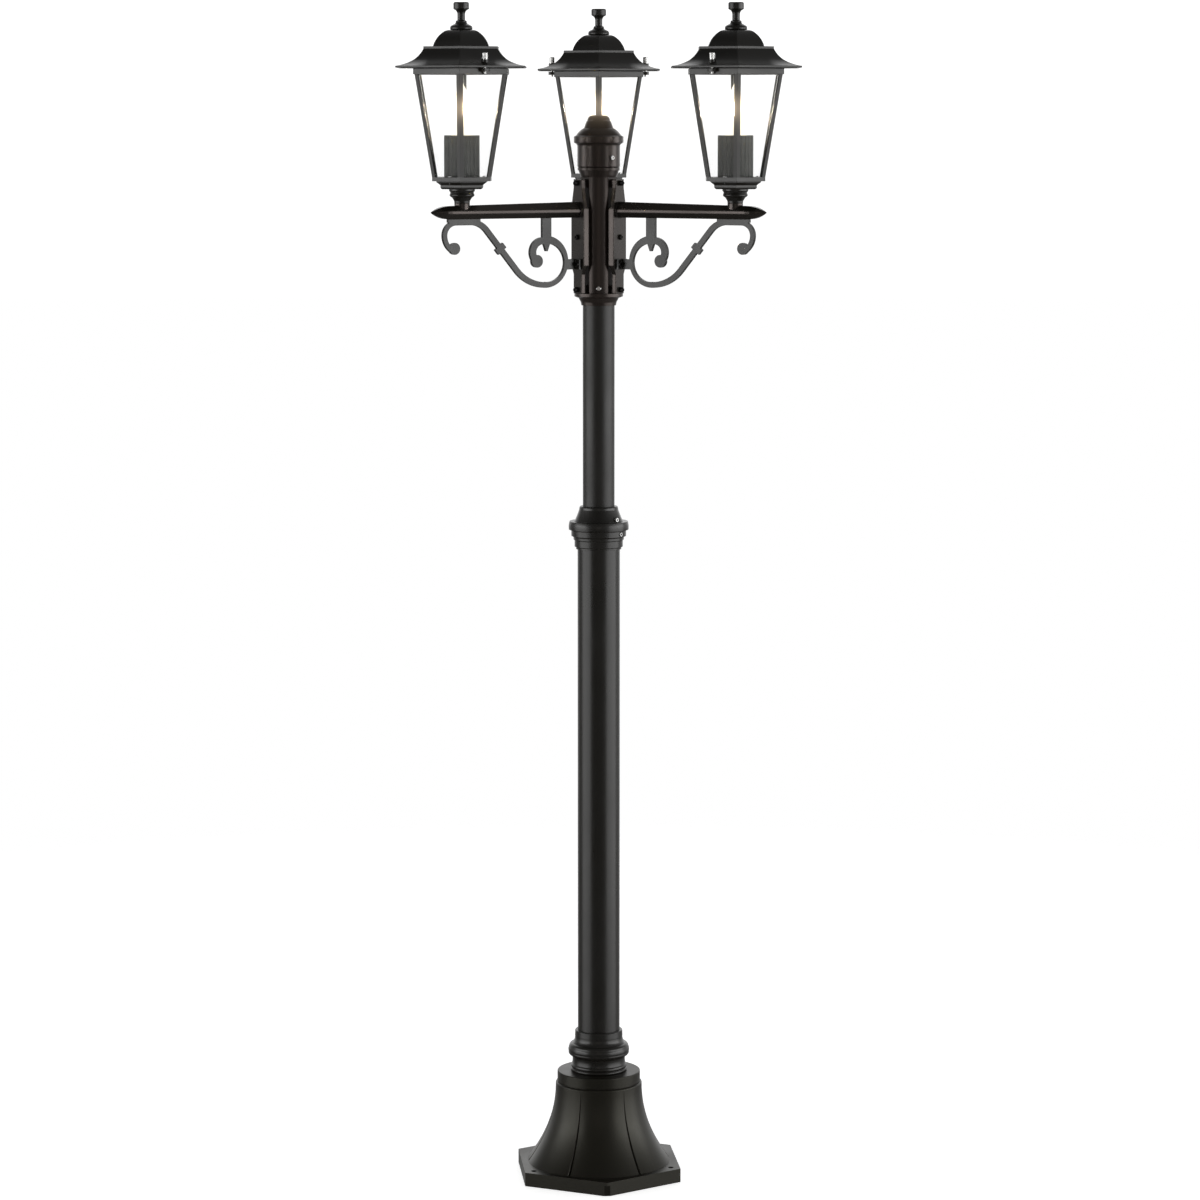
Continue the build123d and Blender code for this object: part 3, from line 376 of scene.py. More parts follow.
@dataclass(frozen=True)
class WarmGlass:
    """The lamp's glass envelope, lit from inside, and denser towards its outline."""

    name: str = "lamp_glass"
    colour: Colour = (0.34, 0.31, 0.25, 1.0)
    glow: Colour = (1.0, 0.93, 0.76, 1.0)
    pale_glow: Colour = (1.0, 0.97, 0.88, 1.0)
    strength: float = 0.98
    roughness: float = 0.06
    facing_blend: float = 0.45
    density_ramp: Ramp = Ramp(0.0, 1.0, 0.42, 0.7)
    swirl_cells: float = 30.0
    swirl_ramp: Ramp = Ramp(*NARROW, 0.0, 0.6)

    def material(self) -> bpy.types.Material:
        """Build the envelope's material.

        Returns:
            The material.
        """
        material, sketch = new_material(self.name)
        slant = sketch.add("ShaderNodeLayerWeight", Blend=self.facing_blend).outputs["Facing"]
        swirl = sketch.noise(self.swirl_cells, detail=3.0)
        alpha = sketch.spread(slant, self.density_ramp)
        glow = sketch.blend(sketch.spread(swirl, self.swirl_ramp), self.glow, self.pale_glow)
        shader = sketch.add(
            "ShaderNodeBsdfPrincipled",
            Base_Color=self.colour,
            Alpha=alpha,
            Roughness=self.roughness,
            Emission_Color=glow,
        )
        shader.inputs["Emission Strength"].default_value = self.strength
        close_surface(sketch, shader)
        return material


@dataclass(frozen=True)
class Glow:
    """A surface that gives light of its own, a little uneven along its length."""

    name: str
    colour: Colour
    strength: float
    roughness: float = 0.5
    bead_cells: float = 700.0
    paleness: float = 0.5           # how far the paler beads are from the colour to white

    def material(self) -> bpy.types.Material:
        """Build the glowing material.

        Returns:
            The material.
        """
        material, sketch = new_material(self.name)
        beads = sketch.spread(sketch.noise(self.bead_cells, detail=1.0), Ramp(*WIDE))
        pale = tuple(self.paleness + (1 - self.paleness) * c for c in self.colour[:3]) + (1.0,)
        colour = sketch.blend(beads, self.colour, pale)
        shader = sketch.add("ShaderNodeBsdfPrincipled", Base_Color=self.colour, Emission_Color=colour)
        shader.inputs["Roughness"].default_value = self.roughness
        shader.inputs["Emission Strength"].default_value = self.strength
        close_surface(sketch, shader)
        return material


@dataclass(frozen=True)
class Plastic:
    """Moulded or glazed material: plastic, porcelain or rubber."""

    name: str
    colour: Colour
    shade: Colour
    roughness: float
    smoothest: float = 0.85         # both as a share of the roughness
    roughest: float = 1.1
    grain_cells: float = 800.0
    grain_depth: float = 0.04 * MM
    grain_strength: float = 0.3
    cloud_cells: float = 60.0
    glaze: float = 0.0

    def material(self) -> bpy.types.Material:
        """Build the moulded material.

        Returns:
            The material.
        """
        material, sketch = new_material(self.name)
        grain = sketch.noise(self.grain_cells, detail=2.0)
        cloud = sketch.noise(self.cloud_cells, detail=4.0)
        colour = sketch.blend(sketch.spread(cloud, Ramp(*NARROW)), self.colour, self.shade)
        smooth = self.roughness * self.smoothest
        rough = sketch.spread(grain, Ramp(*WIDE, smooth, self.roughness * self.roughest))
        bump = sketch.bump(grain, self.grain_depth, self.grain_strength)
        shader = sketch.add("ShaderNodeBsdfPrincipled", Base_Color=colour, Roughness=rough, Normal=bump)
        shader.inputs["Coat Weight"].default_value = self.glaze
        close_surface(sketch, shader)
        return material


class Finishes:
    """Every finish of the post, each built once."""

    WARM: ClassVar[Colour] = (1.0, 0.87, 0.82, 1.0)     # tints of a coat's shine
    OLIVE: ClassVar[Colour] = (1.0, 0.98, 0.86, 1.0)

    def __init__(self) -> None:
        """Build all the materials."""
        self.coat = PowderCoat().material()
        self.arm_coat = PowderCoat(
            "satin_black_soft_edges", roughness=0.27, softening=2.5 * MM, sheen=0.62, sheen_tint=self.WARM
        ).material()
        # the hub's and cap's coat is tinted warm in its colour and its shine: painted warm glow of the
        # lamps' light on them
        self.hub_coat = PowderCoat(
            "satin_black_painted_lamp_glow", (0.0135, 0.0100, 0.0080, 1.0), sheen_tint=self.WARM
        ).material()
        self.base_coat = PowderCoat(
            "satin_black_olive",
            (0.0078, 0.0068, 0.0046, 1.0),
            roughness=0.37,
            sheen=0.34,
            sheen_tint=self.OLIVE,
        ).material()
        self.sleeve_coat = PowderCoat(
            "dull_black_sleeve",
            (0.0090, 0.0092, 0.0066, 1.0),
            roughness=0.45,
            sheen=0.32,
            sheen_tint=self.OLIVE,
        ).material()
        self.tube_coat = PowderCoat("satin_black_tube", roughness=0.44).material()
        self.bright = Metal("bright_screw_steel", (0.62, 0.62, 0.61, 1.0), 0.24).material()
        self.dark = Metal("blackened_bolt_steel", (0.045, 0.043, 0.042, 1.0), 0.42).material()
        self.zinc = Metal("zinc_plated_steel", (0.52, 0.53, 0.55, 1.0), 0.33, mark_cells=300.0).material()
        self.nickel = Metal("nickel_plated_cap", (0.60, 0.57, 0.50, 1.0), 0.22).material()
        self.brass = Metal("terminal_brass", (0.62, 0.43, 0.17, 1.0), 0.28).material()
        self.pane = ClearPane().material()
        self.lamp_glass = WarmGlass().material()
        self.filament = Glow("lit_filament", (1.0, 0.66, 0.28, 1.0), 52.0).material()
        self.porcelain = Plastic(
            "glazed_porcelain", (0.80, 0.78, 0.73, 1.0), (0.74, 0.72, 0.67, 1.0), 0.22, glaze=0.6
        ).material()
        self.rubber = Plastic(
            "seal_rubber", (0.018, 0.018, 0.018, 1.0), (0.03, 0.03, 0.03, 1.0), 0.75
        ).material()
        self.terminal = Plastic(
            "terminal_plastic", (0.70, 0.69, 0.64, 1.0), (0.64, 0.63, 0.58, 1.0), 0.5
        ).material()
        self.clear_bead = Plastic(
            "glass_mount", (0.55, 0.53, 0.47, 1.0), (0.62, 0.60, 0.54, 1.0), 0.12
        ).material()


# ------------------------------------------------------------------ meshes
class Shading:
    """Smooth shading with kept edges for the added pieces, as a modifier."""

    NAME: ClassVar[str] = "weld_and_shade"
    SHARPEST: ClassVar[float] = math.radians(32)    # an edge that turns more than this stays sharp
    WELD: ClassVar[float] = 0.002 * MM

    def __init__(self) -> None:
        """Build the modifier's tree: weld doubled points, then shade smooth up to the sharp angle."""
        self.tree = bpy.data.node_groups.new(self.NAME, "GeometryNodeTree")
        for way in ("INPUT", "OUTPUT"):
            self.tree.interface.new_socket("Geometry", in_out=way, socket_type="NodeSocketGeometry")
        nodes, links = self.tree.nodes, self.tree.links
        start = nodes.new("NodeGroupInput")
        weld = nodes.new("GeometryNodeMergeByDistance")
        weld.inputs["Distance"].default_value = self.WELD
        smooth = nodes.new("GeometryNodeSetShadeSmooth")
        edge_angle = nodes.new("GeometryNodeInputMeshEdgeAngle")
        flat = nodes.new("FunctionNodeCompare")
        flat.operation = "LESS_EQUAL"
        flat.inputs[1].default_value = self.SHARPEST
        sharp = nodes.new("GeometryNodeSetShadeSmooth")
        sharp.domain = "EDGE"
        end = nodes.new("NodeGroupOutput")
        links.new(start.outputs["Geometry"], weld.inputs["Geometry"])
        links.new(weld.outputs["Geometry"], smooth.inputs["Geometry"])
        links.new(smooth.outputs["Geometry"], sharp.inputs["Geometry"])
        links.new(edge_angle.outputs["Unsigned Angle"], flat.inputs[0])
        links.new(flat.outputs["Result"], sharp.inputs["Shade Smooth"])
        links.new(sharp.outputs["Geometry"], end.inputs["Geometry"])

    def apply_to(self, piece: bpy.types.Object) -> None:
        """Put the modifier on a piece."""
        piece.modifiers.new(self.NAME, "NODES").node_group = self.tree


@dataclass
class Mesher:
    """Builds small closed meshes about the Z axis or along a path."""

    segments: int = 32

    def circle(self, radius: float) -> list[Point]:
        """Points round the origin in the XY plane.

        Args:
            radius: The circle's radius.

        Returns:
            One point for each segment.
        """
        turns = [2 * math.pi * step / self.segments for step in range(self.segments)]
        return [(radius * math.cos(turn), radius * math.sin(turn), 0.0) for turn in turns]

    def turned(self, profile: Sequence[tuple[float, float]]) -> bmesh.types.BMesh:
        """Turn a profile about Z and close its ends.

        Args:
            profile: (radius, height) pairs in metres, from one end to the other.

        Returns:
            The closed mesh.
        """
        mesh = bmesh.new()
        rings: list[Ring] = []
        for radius, height in profile:
            spots = self.circle(radius) if radius else [(0.0, 0.0, 0.0)]
            rings.append([mesh.verts.new((x, y, height)) for x, y, _ in spots])
        return self.skinned(mesh, rings)

    def tube(self, outer: float, inner: float, length: float) -> bmesh.types.BMesh:
        """A tube with an open bore, about Z.

        Args:
            outer: Its outer radius.
            inner: Its bore's radius.
            length: Its length, half of it below the origin.

        Returns:
            The closed mesh.
        """
        half = length / 2
        mesh = bmesh.new()
        rings: list[Ring] = []
        for radius, height in ((inner, -half), (outer, -half), (outer, half), (inner, half)):
            rings.append([mesh.verts.new((x, y, height)) for x, y, _ in self.circle(radius)])
        for low, high in zip(rings, rings[1:] + rings[:1]):
            self.join(mesh, low, high)
        bmesh.ops.recalc_face_normals(mesh, faces=mesh.faces)
        return mesh

    def wire(self, path: Sequence[Point], radius: float) -> bmesh.types.BMesh:
        """A round wire along a path.

        Args:
            path: Points in metres.
            radius: The wire's radius.

        Returns:
            The closed mesh.
        """
        mesh = bmesh.new()
        points = [Vector(p) for p in path]
        rings: list[Ring] = []
        for before, point, after in zip(points[:1] + points, points, points[1:] + points[-1:]):
            turn = (after - before).normalized().to_track_quat("Z", "Y")
            rings.append([mesh.verts.new(point + turn @ Vector(spot)) for spot in self.circle(radius)])
        return self.skinned(mesh, rings)

    def skinned(self, mesh: bmesh.types.BMesh, rings: list[Ring]) -> bmesh.types.BMesh:
        """Join rings in a row and close both ends.

        Args:
            mesh: The mesh that holds their points.
            rings: The rings, of which an end may be a single point.

        Returns:
            The same mesh, closed.
        """
        for low, high in zip(rings, rings[1:]):
            self.join(mesh, low, high)
        for ring in (rings[0], rings[-1]):
            if len(ring) > 1:
                mesh.faces.new(ring)
        bmesh.ops.recalc_face_normals(mesh, faces=mesh.faces)
        return mesh

    def join(self, mesh: bmesh.types.BMesh, low: Ring, high: Ring) -> None:
        """Fill the band between two rings, either of which may be a single point.

        Args:
            mesh: The mesh that holds their points.
            low: One ring.
            high: The other.
        """
        count = max(len(low), len(high))
        for step in range(count):
            following = (step + 1) % count
            corners = [low[step % len(low)], low[following % len(low)]]
            corners += [high[following % len(high)], high[step % len(high)]]
            face = list(dict.fromkeys(corners))
            if len(face) > 2:
                mesh.faces.new(face)


def merged(parts: Iterable[bmesh.types.BMesh]) -> bmesh.types.BMesh:
    """Put several meshes into one.

    Args:
        parts: The meshes, which are freed.

    Returns:
        One mesh with all of them.
    """
    whole = bmesh.new()
    for part in parts:
        data = bpy.data.meshes.new("part")
        part.to_mesh(data)
        part.free()
        whole.from_mesh(data)
        bpy.data.meshes.remove(data)
    return whole


@dataclass
class Workshop:
    """What every sub-assembly uses: the finishes, the shading and the way a piece is put in place."""

    finishes: Finishes
    shading: Shading

    def dress(self, node: str, material: bpy.types.Material) -> None:
        """Give a node of the frame its finish; its shading comes with its mesh.

        Args:
            node: The node's name.
            material: Its finish.
        """
        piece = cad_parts[node]
        piece.data.materials.clear()
        piece.data.materials.append(material)
        log.info("dressed %s in %s", node, material.name)

    def place(
        self,
        name: str,
        mesh: bmesh.types.BMesh,
        at: Vector,
        material: bpy.types.Material,
        body: str,
        slot: str,
    ) -> None:
        """Put a new piece in the frame.

        Args:
            name: The piece's name.
            mesh: Its mesh about its own origin, which is freed.
            at: Where that origin goes.
            material: Its finish.
            body: The body that it rides on.
            slot: The record's material slot that it belongs to; not used.
        """
        data = bpy.data.meshes.new(name)
        mesh.to_mesh(data)
        mesh.free()
        data.transform(Matrix.Translation(at))
        data.materials.append(material)
        piece = bpy.data.objects.new(name, data)
        bpy.context.scene.collection.objects.link(piece)
        self.shading.apply_to(piece)
        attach(piece, body)
        log.info("added %s on %s", name, body)


# ------------------------------------------------------------------ the post
@dataclass
class Post:
    """Base, poles, coupling, hub and cap, and what holds them together."""

    shop: Workshop

    COATED: ClassVar[tuple[str, ...]] = ("bottom_collar", "lower_pole", "coupling", "coupling_cone")
    CAST: ClassVar[tuple[str, ...]] = ("hub", "hub_cap")
    ZINC: ClassVar[tuple[str, ...]] = ("base_tie", "hex_nuts", "nipples", "terminal_plate", "pole_plug")
    BRIGHT: ClassVar[tuple[str, ...]] = ("cap_screw", "set_screws", "small_screws")
    DARK: ClassVar[tuple[str, ...]] = ("arm_bolts", "ear_screws", "scroll_screws")

    def build(self) -> None:
        """Dress the post's nodes."""
        finishes = self.shop.finishes
        groups = (
            (self.COATED, finishes.coat),
            (self.CAST, finishes.hub_coat),
            (self.ZINC, finishes.zinc),
            (self.BRIGHT, finishes.bright),
            (self.DARK, finishes.dark),
            (("base_casting",), finishes.base_coat),
            (("upper_pole",), finishes.tube_coat),
            (("terminal_block",), finishes.terminal),
            (("roof_seals",), finishes.rubber),
        )
        for nodes, finish in groups:
            for node in nodes:
                self.shop.dress(node, finish)


@dataclass
class TerminalFittings:
    """Brass clamps and their slotted screws in the terminal block under the cap."""

    shop: Workshop
    ways: int = 3
    way_share: float = 0.35     # height of the ways in the block, as a share of its height
    clamp_radius: float = 1.9 * MM
    clamp_wall: float = 0.5 * MM
    clamp_inset: float = 1.0 * MM
    clamp_segments: int = 24
    screw_radius: float = 1.9 * MM
    screw_depth: float = 2.4 * MM
    screw_sink: float = 2.6 * MM    # the screw's top below the block's
    screw_bevel: float = 0.3 * MM
    slot_width: float = 0.5 * MM
    slot_depth: float = 0.5 * MM

    def build(self) -> None:
        """Add the clamps and the screws of every way."""
        low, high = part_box("terminal_block")
        height = high.z - low.z
        pitch = (high.x - low.x) / self.ways
        places = [(index - (self.ways - 1) / 2) * pitch for index in range(self.ways)]
        clamps = merged(self.clamp(x, low.y, high.y, height * self.way_share) for x in places)
        screws = merged(self.screw(x, height - self.screw_sink) for x in places)
        base = Vector((0.0, 0.0, low.z))
        finishes = self.shop.finishes
        self.shop.place("terminal_clamps", clamps, base, finishes.brass, "post", "zinc_steel")
        self.shop.place("terminal_screws", screws, base, finishes.bright, "post", "bright_screws")

    def clamp(self, x: float, start: float, end: float, height: float) -> bmesh.types.BMesh:
        """One brass tube through the block.

        Args:
            x: Its place along the block.
            start: Where the block starts along Y.
            end: Where it ends along Y.
            height: The tube's height above the block's foot.

        Returns:
            The tube's mesh.
        """
        length = end - start - 2 * self.clamp_inset
        inner = self.clamp_radius - self.clamp_wall
        tube = Mesher(self.clamp_segments).tube(self.clamp_radius, inner, length)
        lying = Matrix.Rotation(math.radians(90), 4, "X")
        tube.transform(Matrix.Translation((x, 0.0, height)) @ lying)
        return tube

    def screw(self, x: float, head: float) -> bmesh.types.BMesh:
        """One slotted clamp screw, sunk in its hole.

        Args:
            x: Its place along the block.
            head: Its top above the block's foot.

        Returns:
            The screw's mesh.
        """
        r = self.screw_radius
        foot = head - self.screw_depth
        bevel = self.screw_bevel
        mesh = Mesher().turned([(0.0, foot), (r, foot), (r, head - bevel), (r - bevel, head), (0.0, head)])
        half = self.slot_width / 2
        for vert in mesh.verts:
            if vert.co.z > head - bevel / 2 and abs(vert.co.y) < half:
                vert.co.z -= self.slot_depth
        bmesh.ops.translate(mesh, verts=mesh.verts, vec=(x, 0.0, 0.0))
        return mesh


@dataclass
class Arm:
    """One arm with its scroll bracket."""

    shop: Workshop
    side: Side

    def build(self) -> None:
        """Dress the arm and its bracket."""
        finishes = self.shop.finishes
        self.shop.dress(self.side.node("arm"), finishes.arm_coat)
        self.shop.dress(self.side.node("scroll"), finishes.coat)


@dataclass
class Lantern:
    """One lantern: base, cage, panes, roof, finial, thumb screws, holder and sleeve."""

    shop: Workshop
    side: Side

    COATED: ClassVar[tuple[str, ...]] = ("lantern_base", "cage", "roof", "finial")

    def build(self) -> None:
        """Dress the lantern's nodes."""
        finishes = self.shop.finishes
        for stem in self.COATED:
            self.shop.dress(self.side.node(stem), finishes.coat)
        self.shop.dress(self.side.node("lamp_sleeve"), finishes.sleeve_coat)
        self.shop.dress(self.side.node("glass_panes"), finishes.pane)
        self.shop.dress(self.side.node("lampholder"), finishes.porcelain)
        for label in ("a", "b"):
            self.shop.dress(f"{self.side.node('thumb_screw')}_{label}", finishes.bright)


@dataclass
class Lamp:
    """One lamp: cap, glass, and the mount and filament inside the glass."""

    shop: Workshop
    side: Side
    filament_share: float = 0.62    # height of the filament's middle, as a share of the glass
    filament_length: float = 26.0 * MM
    filament_radius: float = 0.9 * MM
    filament_lean: float = 3.2 * MM
    filament_count: int = 4
    filament_circle: float = 5.0 * MM
    stem_radius: float = 2.6 * MM
    stem_segments: int = 28
    wire_radius: float = 0.35 * MM
    wire_segments: int = 10
    wire_depth: float = 5.0 * MM    # how far under the stem's top the wires leave it
    wire_root: float = 0.3          # how far from the axis they are there, as a share of a filament's end
    wire_knee: float = 0.8          # and half way up to the filament
    wire_sink: float = 1.0 * MM     # how far the middle wire goes into the stem
    crown_rise: float = 1.6 * MM    # from the filaments' tops to where their upper wires meet
    crown_bend: float = 0.6         # where those wires bend, as a share of a filament's end
    crown_slack: float = 0.2 * MM   # how far the bend is under the crown, and the middle wire's end over it
    light_watts: float = 0.6
    light_radius: float = 6.0 * MM
    light_colour: Light = (1.0, 0.90, 0.75)

    def build(self) -> None:
        """Dress the lamp's nodes, and add its inner parts and its light."""
        finishes = self.shop.finishes
        body = self.side.node("bulb")
        self.shop.dress(self.side.node("bulb_cap"), finishes.nickel)
        self.shop.dress(self.side.node("bulb_glass"), finishes.lamp_glass)
        low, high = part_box(self.side.node("bulb_glass"))
        axis = (low + high) / 2
        foot = Vector((axis.x, axis.y, low.z))
        height = high.z - low.z
        middle = height * self.filament_share
        stem_top = middle - self.filament_length / 2
        for stem, mesh, finish, slot in (
            ("lamp_mount", self.mount(stem_top), finishes.clear_bead, "bulb_glass"),
            ("lamp_wires", self.wires(middle), finishes.nickel, "bulb_cap_metal"),
            ("filament", self.filaments(middle), finishes.filament, "bulb_glass"),
        ):
            self.shop.place(self.side.node(stem), mesh, foot, finish, body, slot)
        self.shine(foot + Vector((0.0, 0.0, middle)))

    def mount(self, top: float) -> bmesh.types.BMesh:
        """The glass stem, flared at its foot.

        Args:
            top: Its height above the glass's lower edge.

        Returns:
            The stem's mesh.
        """
        r = self.stem_radius
        flare = [
            (0.0, 0.4 * MM), (3.4 * r, 0.4 * MM), (2.6 * r, 3.0 * MM), (1.3 * r, 8.0 * MM), (r, 14.0 * MM)
        ]
        bead = [(r, top - 6.0 * MM), (1.25 * r, top - 4.0 * MM), (1.1 * r, top - 1.2 * MM), (0.0, top)]
        return Mesher(self.stem_segments).turned(flare + bead)

    def spots(self, middle: float) -> list[tuple[Point, Point]]:
        """The two ends of each filament.

        Args:
            middle: The filaments' middle height.

        Returns:
            (low end, high end) pairs.
        """
        ends: list[tuple[Point, Point]] = []
        for index in range(self.filament_count):
            turn = 2 * math.pi * (index + 0.5) / self.filament_count
            near = self.filament_circle
            far = self.filament_circle - self.filament_lean
            low = (near * math.cos(turn), near * math.sin(turn), middle - self.filament_length / 2)
            high = (far * math.cos(turn), far * math.sin(turn), middle + self.filament_length / 2)
            ends.append((low, high))
        return ends

    def inward(self, end: Point, share: float, height: float) -> Point:
        """A point at a share of a filament end's distance from the axis, at a height of its own."""
        return (end[0] * share, end[1] * share, height)

    def filaments(self, middle: float) -> bmesh.types.BMesh:
        """The filament rods.

        Args:
            middle: Their middle height.

        Returns:
            Their mesh.
        """
        wires = Mesher(self.wire_segments)
        return merged(wires.wire(ends, self.filament_radius) for ends in self.spots(middle))

    def wires(self, middle: float) -> bmesh.types.BMesh:
        """The wires from the stem to each rod, those that join the rods' tops, and one up the middle.

        Args:
            middle: The filaments' middle height.

        Returns:
            Their mesh.
        """
        foot = middle - self.filament_length / 2
        top = middle + self.filament_length / 2
        paths: list[list[Point]] = []
        for low, high in self.spots(middle):
            start = self.inward(low, self.wire_root, foot - self.wire_depth)
            knee = self.inward(low, self.wire_knee, foot - self.wire_depth / 2)
            bend = self.inward(high, self.crown_bend, top + self.crown_rise - self.crown_slack)
            crown = self.inward(high, 0.0, top + self.crown_rise)
            paths += [[start, knee, low], [high, bend, crown]]
        end = top + self.crown_rise + self.crown_slack
        paths.append([(0.0, 0.0, foot - self.wire_sink), (0.0, 0.0, end)])
        wires = Mesher(self.wire_segments)
        return merged(wires.wire(path, self.wire_radius) for path in paths)

    def shine(self, at: Vector) -> None:
        """A small warm light in the glass.

        Args:
            at: Its place.
        """
        light = bpy.data.lights.new(self.side.node("lamp_light"), "POINT")
        light.color = self.light_colour
        light.energy = self.light_watts
        light.shadow_soft_size = self.light_radius
        lamp = bpy.data.objects.new(light.name, light)
        bpy.context.scene.collection.objects.link(lamp)
        lamp.location = at


# ------------------------------------------------------------------ studio
@dataclass
class SoftBox:
    """A soft rectangular studio light that faces the post."""

    name: str
    place: Point
    aim: Point
    width: float
    height: float
    watts: float
    colour: Light = (1.0, 1.0, 1.0)

    def build(self) -> None:
        """Hang the light."""
        light = bpy.data.lights.new(self.name, "AREA")
        light.shape = "RECTANGLE"
        light.size = self.width
        light.size_y = self.height
        light.energy = self.watts
        light.color = self.colour
        lamp = bpy.data.objects.new(self.name, light)
        bpy.context.scene.collection.objects.link(lamp)
        lamp.location = self.place
        lamp.rotation_euler = (Vector(self.aim) - Vector(self.place)).to_track_quat("-Z", "Y").to_euler()
        lamp.visible_camera = False
        log.info("light %s", self.name)


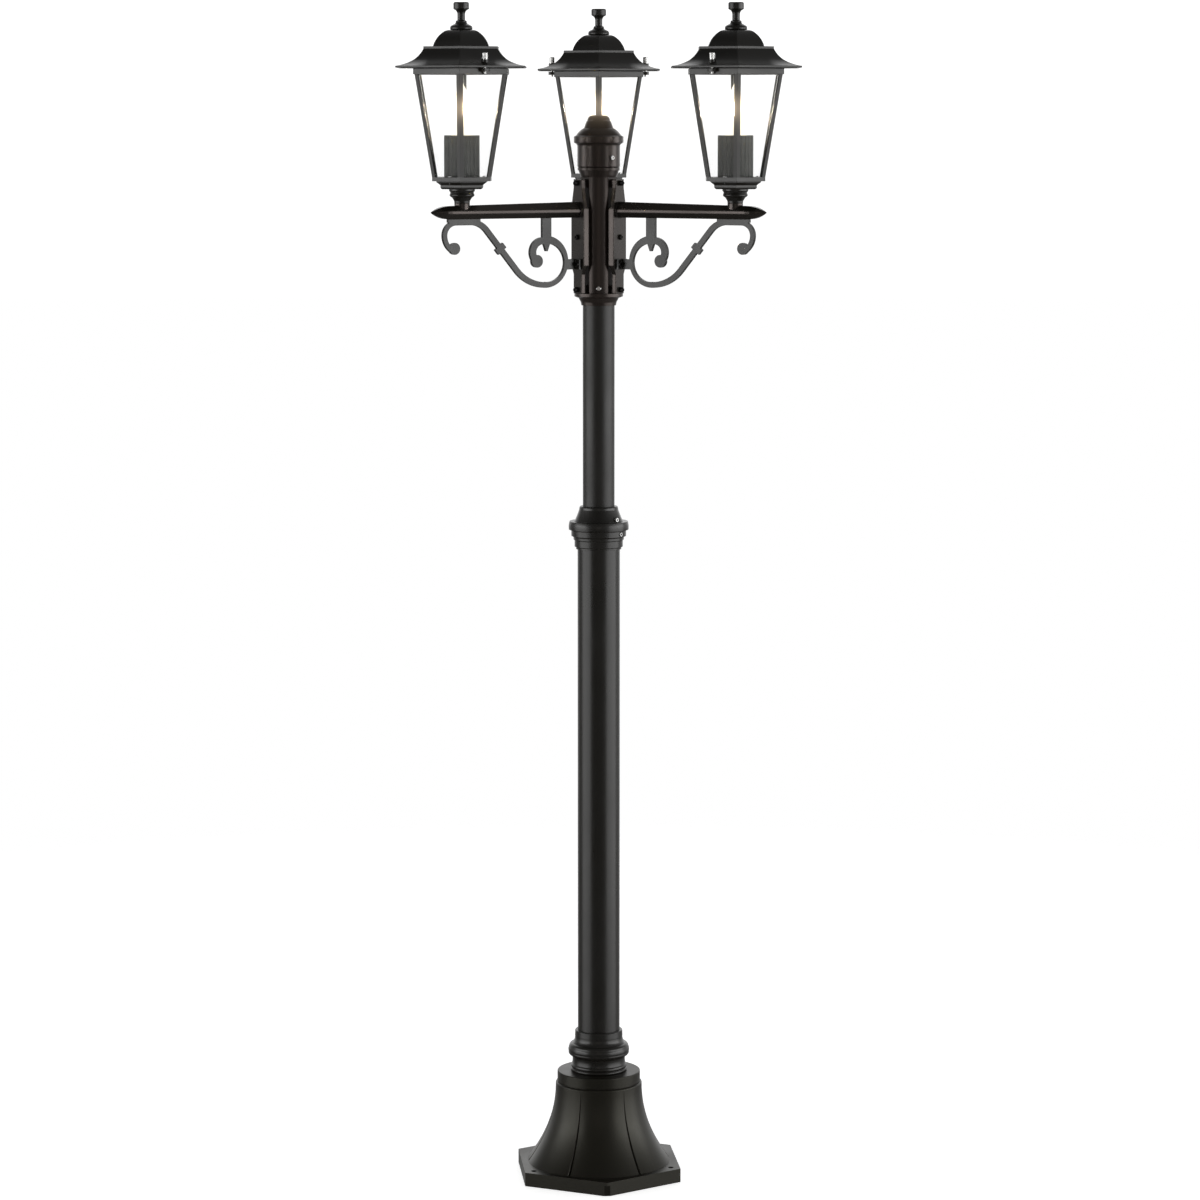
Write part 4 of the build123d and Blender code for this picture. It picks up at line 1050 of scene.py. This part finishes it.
@dataclass
class Studio:
    """White surroundings, a pale floor, soft lights and the camera."""

    camera_place: Point = (0.00205, -6.0, 1.690)
    camera_pitch: float = 7.2       # degrees down
    camera_lens: float = 114.36     # both in millimetres
    camera_sensor: float = 36.0
    floor_radius: float = 3.2
    floor_solid: float = 0.8        # radius inside which the floor is whole; it fades out beyond
    floor_faded: float = 0.97       # where it is gone, as a share of its radius
    floor_segments: int = 96
    floor_drop: float = 0.5 * MM
    floor_colour: Colour = (0.86, 0.86, 0.855, 1.0)
    floor_glow: float = 0.74
    floor_shine: float = 0.1
    floor_grain_cells: float = 40.0
    floor_grain: Ramp = Ramp(*WIDE, 0.45, 0.55)

    # how bright the surroundings are in each direction, by its part along an axis
    BESIDE: ClassVar[Ramp] = Ramp(-0.6, 0.6, 0.35, 0.85)        # along X
    BESIDE_RISE: ClassVar[Ramp] = Ramp(0.20, 0.45, 1.0, 0.3)    # up
    BACKDROP: ClassVar[Ramp] = Ramp(0.6, 0.9, 0.2, 1.35)        # along Y
    BACKDROP_RISE: ClassVar[Ramp] = Ramp(0.60, 0.85, 1.0, 0.3)  # up
    FRONT: ClassVar[Ramp] = Ramp(-0.95, -0.3, 0.3, 1.0)         # along Y
    GROUND: ClassVar[Ramp] = Ramp(-0.25, 0.06, 0.25, 1.0)       # up

    GLARE: ClassVar[dict[str, float | Colour]] = {
        "Threshold": 1.5,
        "Strength": 1.0,
        "Size": 0.045,
        "Tint": (1.0, 0.94, 0.88, 1.0),
    }
    LIGHTS: ClassVar[tuple[SoftBox, ...]] = (
        SoftBox("left_low_box", (-4.75, -1.54, -0.05), (0.0, 0.0, -0.05), 5.2, 2.3, 64.0),
        SoftBox("left_high_box", (-4.75, -1.54, 1.68), (0.0, 0.0, 1.68), 5.2, 1.15, 74.0),
        SoftBox("right_low_box", (4.83, -1.30, -0.05), (0.0, 0.0, -0.05), 6.2, 2.3, 74.0),
        SoftBox("right_high_box", (4.83, -1.30, 1.68), (0.0, 0.0, 1.68), 6.2, 1.15, 84.0),
        SoftBox("front_fill", (0.0, -6.8, 1.68), (0.0, 0.0, 1.68), 2.4, 0.75, 4.5, (1.0, 0.88, 0.80)),
    )

    def build(self) -> None:
        """Build the surroundings."""
        self.surroundings()
        self.floor()
        for light in self.LIGHTS:
            light.build()
        self.camera()
        self.glare()
        bpy.context.scene.view_settings.view_transform = "Standard"

    def glare(self) -> None:
        """A soft halo round what is brighter than the white surroundings, which is only the lit lamps."""
        scene = bpy.context.scene
        scene.use_nodes = True
        sketch = NodeSketch(scene.node_tree)
        layers = sketch.add("CompositorNodeRLayers")
        glare = sketch.add("CompositorNodeGlare", {"glare_type": "BLOOM", "quality": "HIGH"})
        for name, value in self.GLARE.items():
            glare.inputs[name].default_value = value
        result = sketch.add("CompositorNodeComposite")
        scene.node_tree.links.new(layers.outputs["Image"], glare.inputs["Image"])
        scene.node_tree.links.new(glare.outputs["Image"], result.inputs["Image"])

    def camera(self) -> None:
        """Stand the camera."""
        data = bpy.data.cameras.new("front_camera")
        data.lens = self.camera_lens
        data.sensor_width = self.camera_sensor
        camera = bpy.data.objects.new("front_camera", data)
        bpy.context.scene.collection.objects.link(camera)
        camera.location = self.camera_place
        camera.rotation_euler = (math.radians(90 - self.camera_pitch), 0.0, 0.0)
        bpy.context.scene.camera = camera

    def surroundings(self) -> None:
        """A white backdrop that is seen as white, and lights the post from behind and the sides."""
        world = bpy.data.worlds.new("studio_surroundings")
        world.use_nodes = True
        bpy.context.scene.world = world
        sketch = NodeSketch(world.node_tree)
        way = sketch.add("ShaderNodeTexCoord").outputs["Generated"]
        parts = sketch.add("ShaderNodeSeparateXYZ", Vector=way)
        across, along, up = (parts.outputs[axis] for axis in "XYZ")
        beside = sketch.maths(
            "MULTIPLY", sketch.spread(across, self.BESIDE), sketch.spread(up, self.BESIDE_RISE)
        )
        backdrop = sketch.maths(
            "MULTIPLY", sketch.spread(along, self.BACKDROP), sketch.spread(up, self.BACKDROP_RISE)
        )
        lit = sketch.maths("MAXIMUM", beside, backdrop)
        for shade in (sketch.spread(along, self.FRONT), sketch.spread(up, self.GROUND)):
            lit = sketch.maths("MULTIPLY", lit, shade)
        seen = sketch.add("ShaderNodeLightPath").outputs["Is Camera Ray"]
        strength = sketch.maths("MAXIMUM", lit, seen)
        shader = sketch.add("ShaderNodeBackground", Color=WHITE, Strength=strength)
        output = sketch.add("ShaderNodeOutputWorld")
        sketch.tree.links.new(shader.outputs[0], output.inputs["Surface"])

    def floor(self) -> None:
        """A plain pale floor that fades into the white surroundings."""
        mesh = bmesh.new()
        bmesh.ops.create_circle(mesh, cap_ends=True, radius=self.floor_radius, segments=self.floor_segments)
        data = bpy.data.meshes.new("pale_floor")
        mesh.to_mesh(data)
        mesh.free()
        data.materials.append(self.floor_material())
        floor = bpy.data.objects.new("pale_floor", data)
        bpy.context.scene.collection.objects.link(floor)
        floor.location = (0.0, 0.0, -self.floor_drop)
        floor.visible_glossy = False

    def floor_material(self) -> bpy.types.Material:
        """Build the floor's material, which fades out with the distance from the post.

        Returns:
            The material.
        """
        material, sketch = new_material("pale_floor")
        place = sketch.add("ShaderNodeTexCoord").outputs["Object"]
        reach = sketch.add("ShaderNodeVectorMath", {"operation": "LENGTH"})
        sketch.feed(reach.inputs[0], place)
        fade = Ramp(self.floor_solid, self.floor_radius * self.floor_faded, 1.0, 0.0)
        whole = sketch.spread(reach.outputs["Value"], fade)
        grain = sketch.spread(sketch.noise(self.floor_grain_cells, detail=4.0), self.floor_grain)
        shader = sketch.add(
            "ShaderNodeBsdfPrincipled",
            Base_Color=self.floor_colour,
            Roughness=grain,
            Alpha=whole,
            Emission_Color=WHITE,
            Emission_Strength=self.floor_glow,
        )
        shader.inputs["Specular IOR Level"].default_value = self.floor_shine
        close_surface(sketch, shader)
        return material


def main() -> None:
    """Build everything in order."""
    logging.basicConfig(level=logging.INFO, format="%(message)s")
    shop = Workshop(Finishes(), Shading())
    Studio().build()
    Post(shop).build()
    TerminalFittings(shop).build()
    for side in Side:
        Arm(shop, side).build()
        Lantern(shop, side).build()
        Lamp(shop, side).build()


if __name__ == "__main__":
    main()
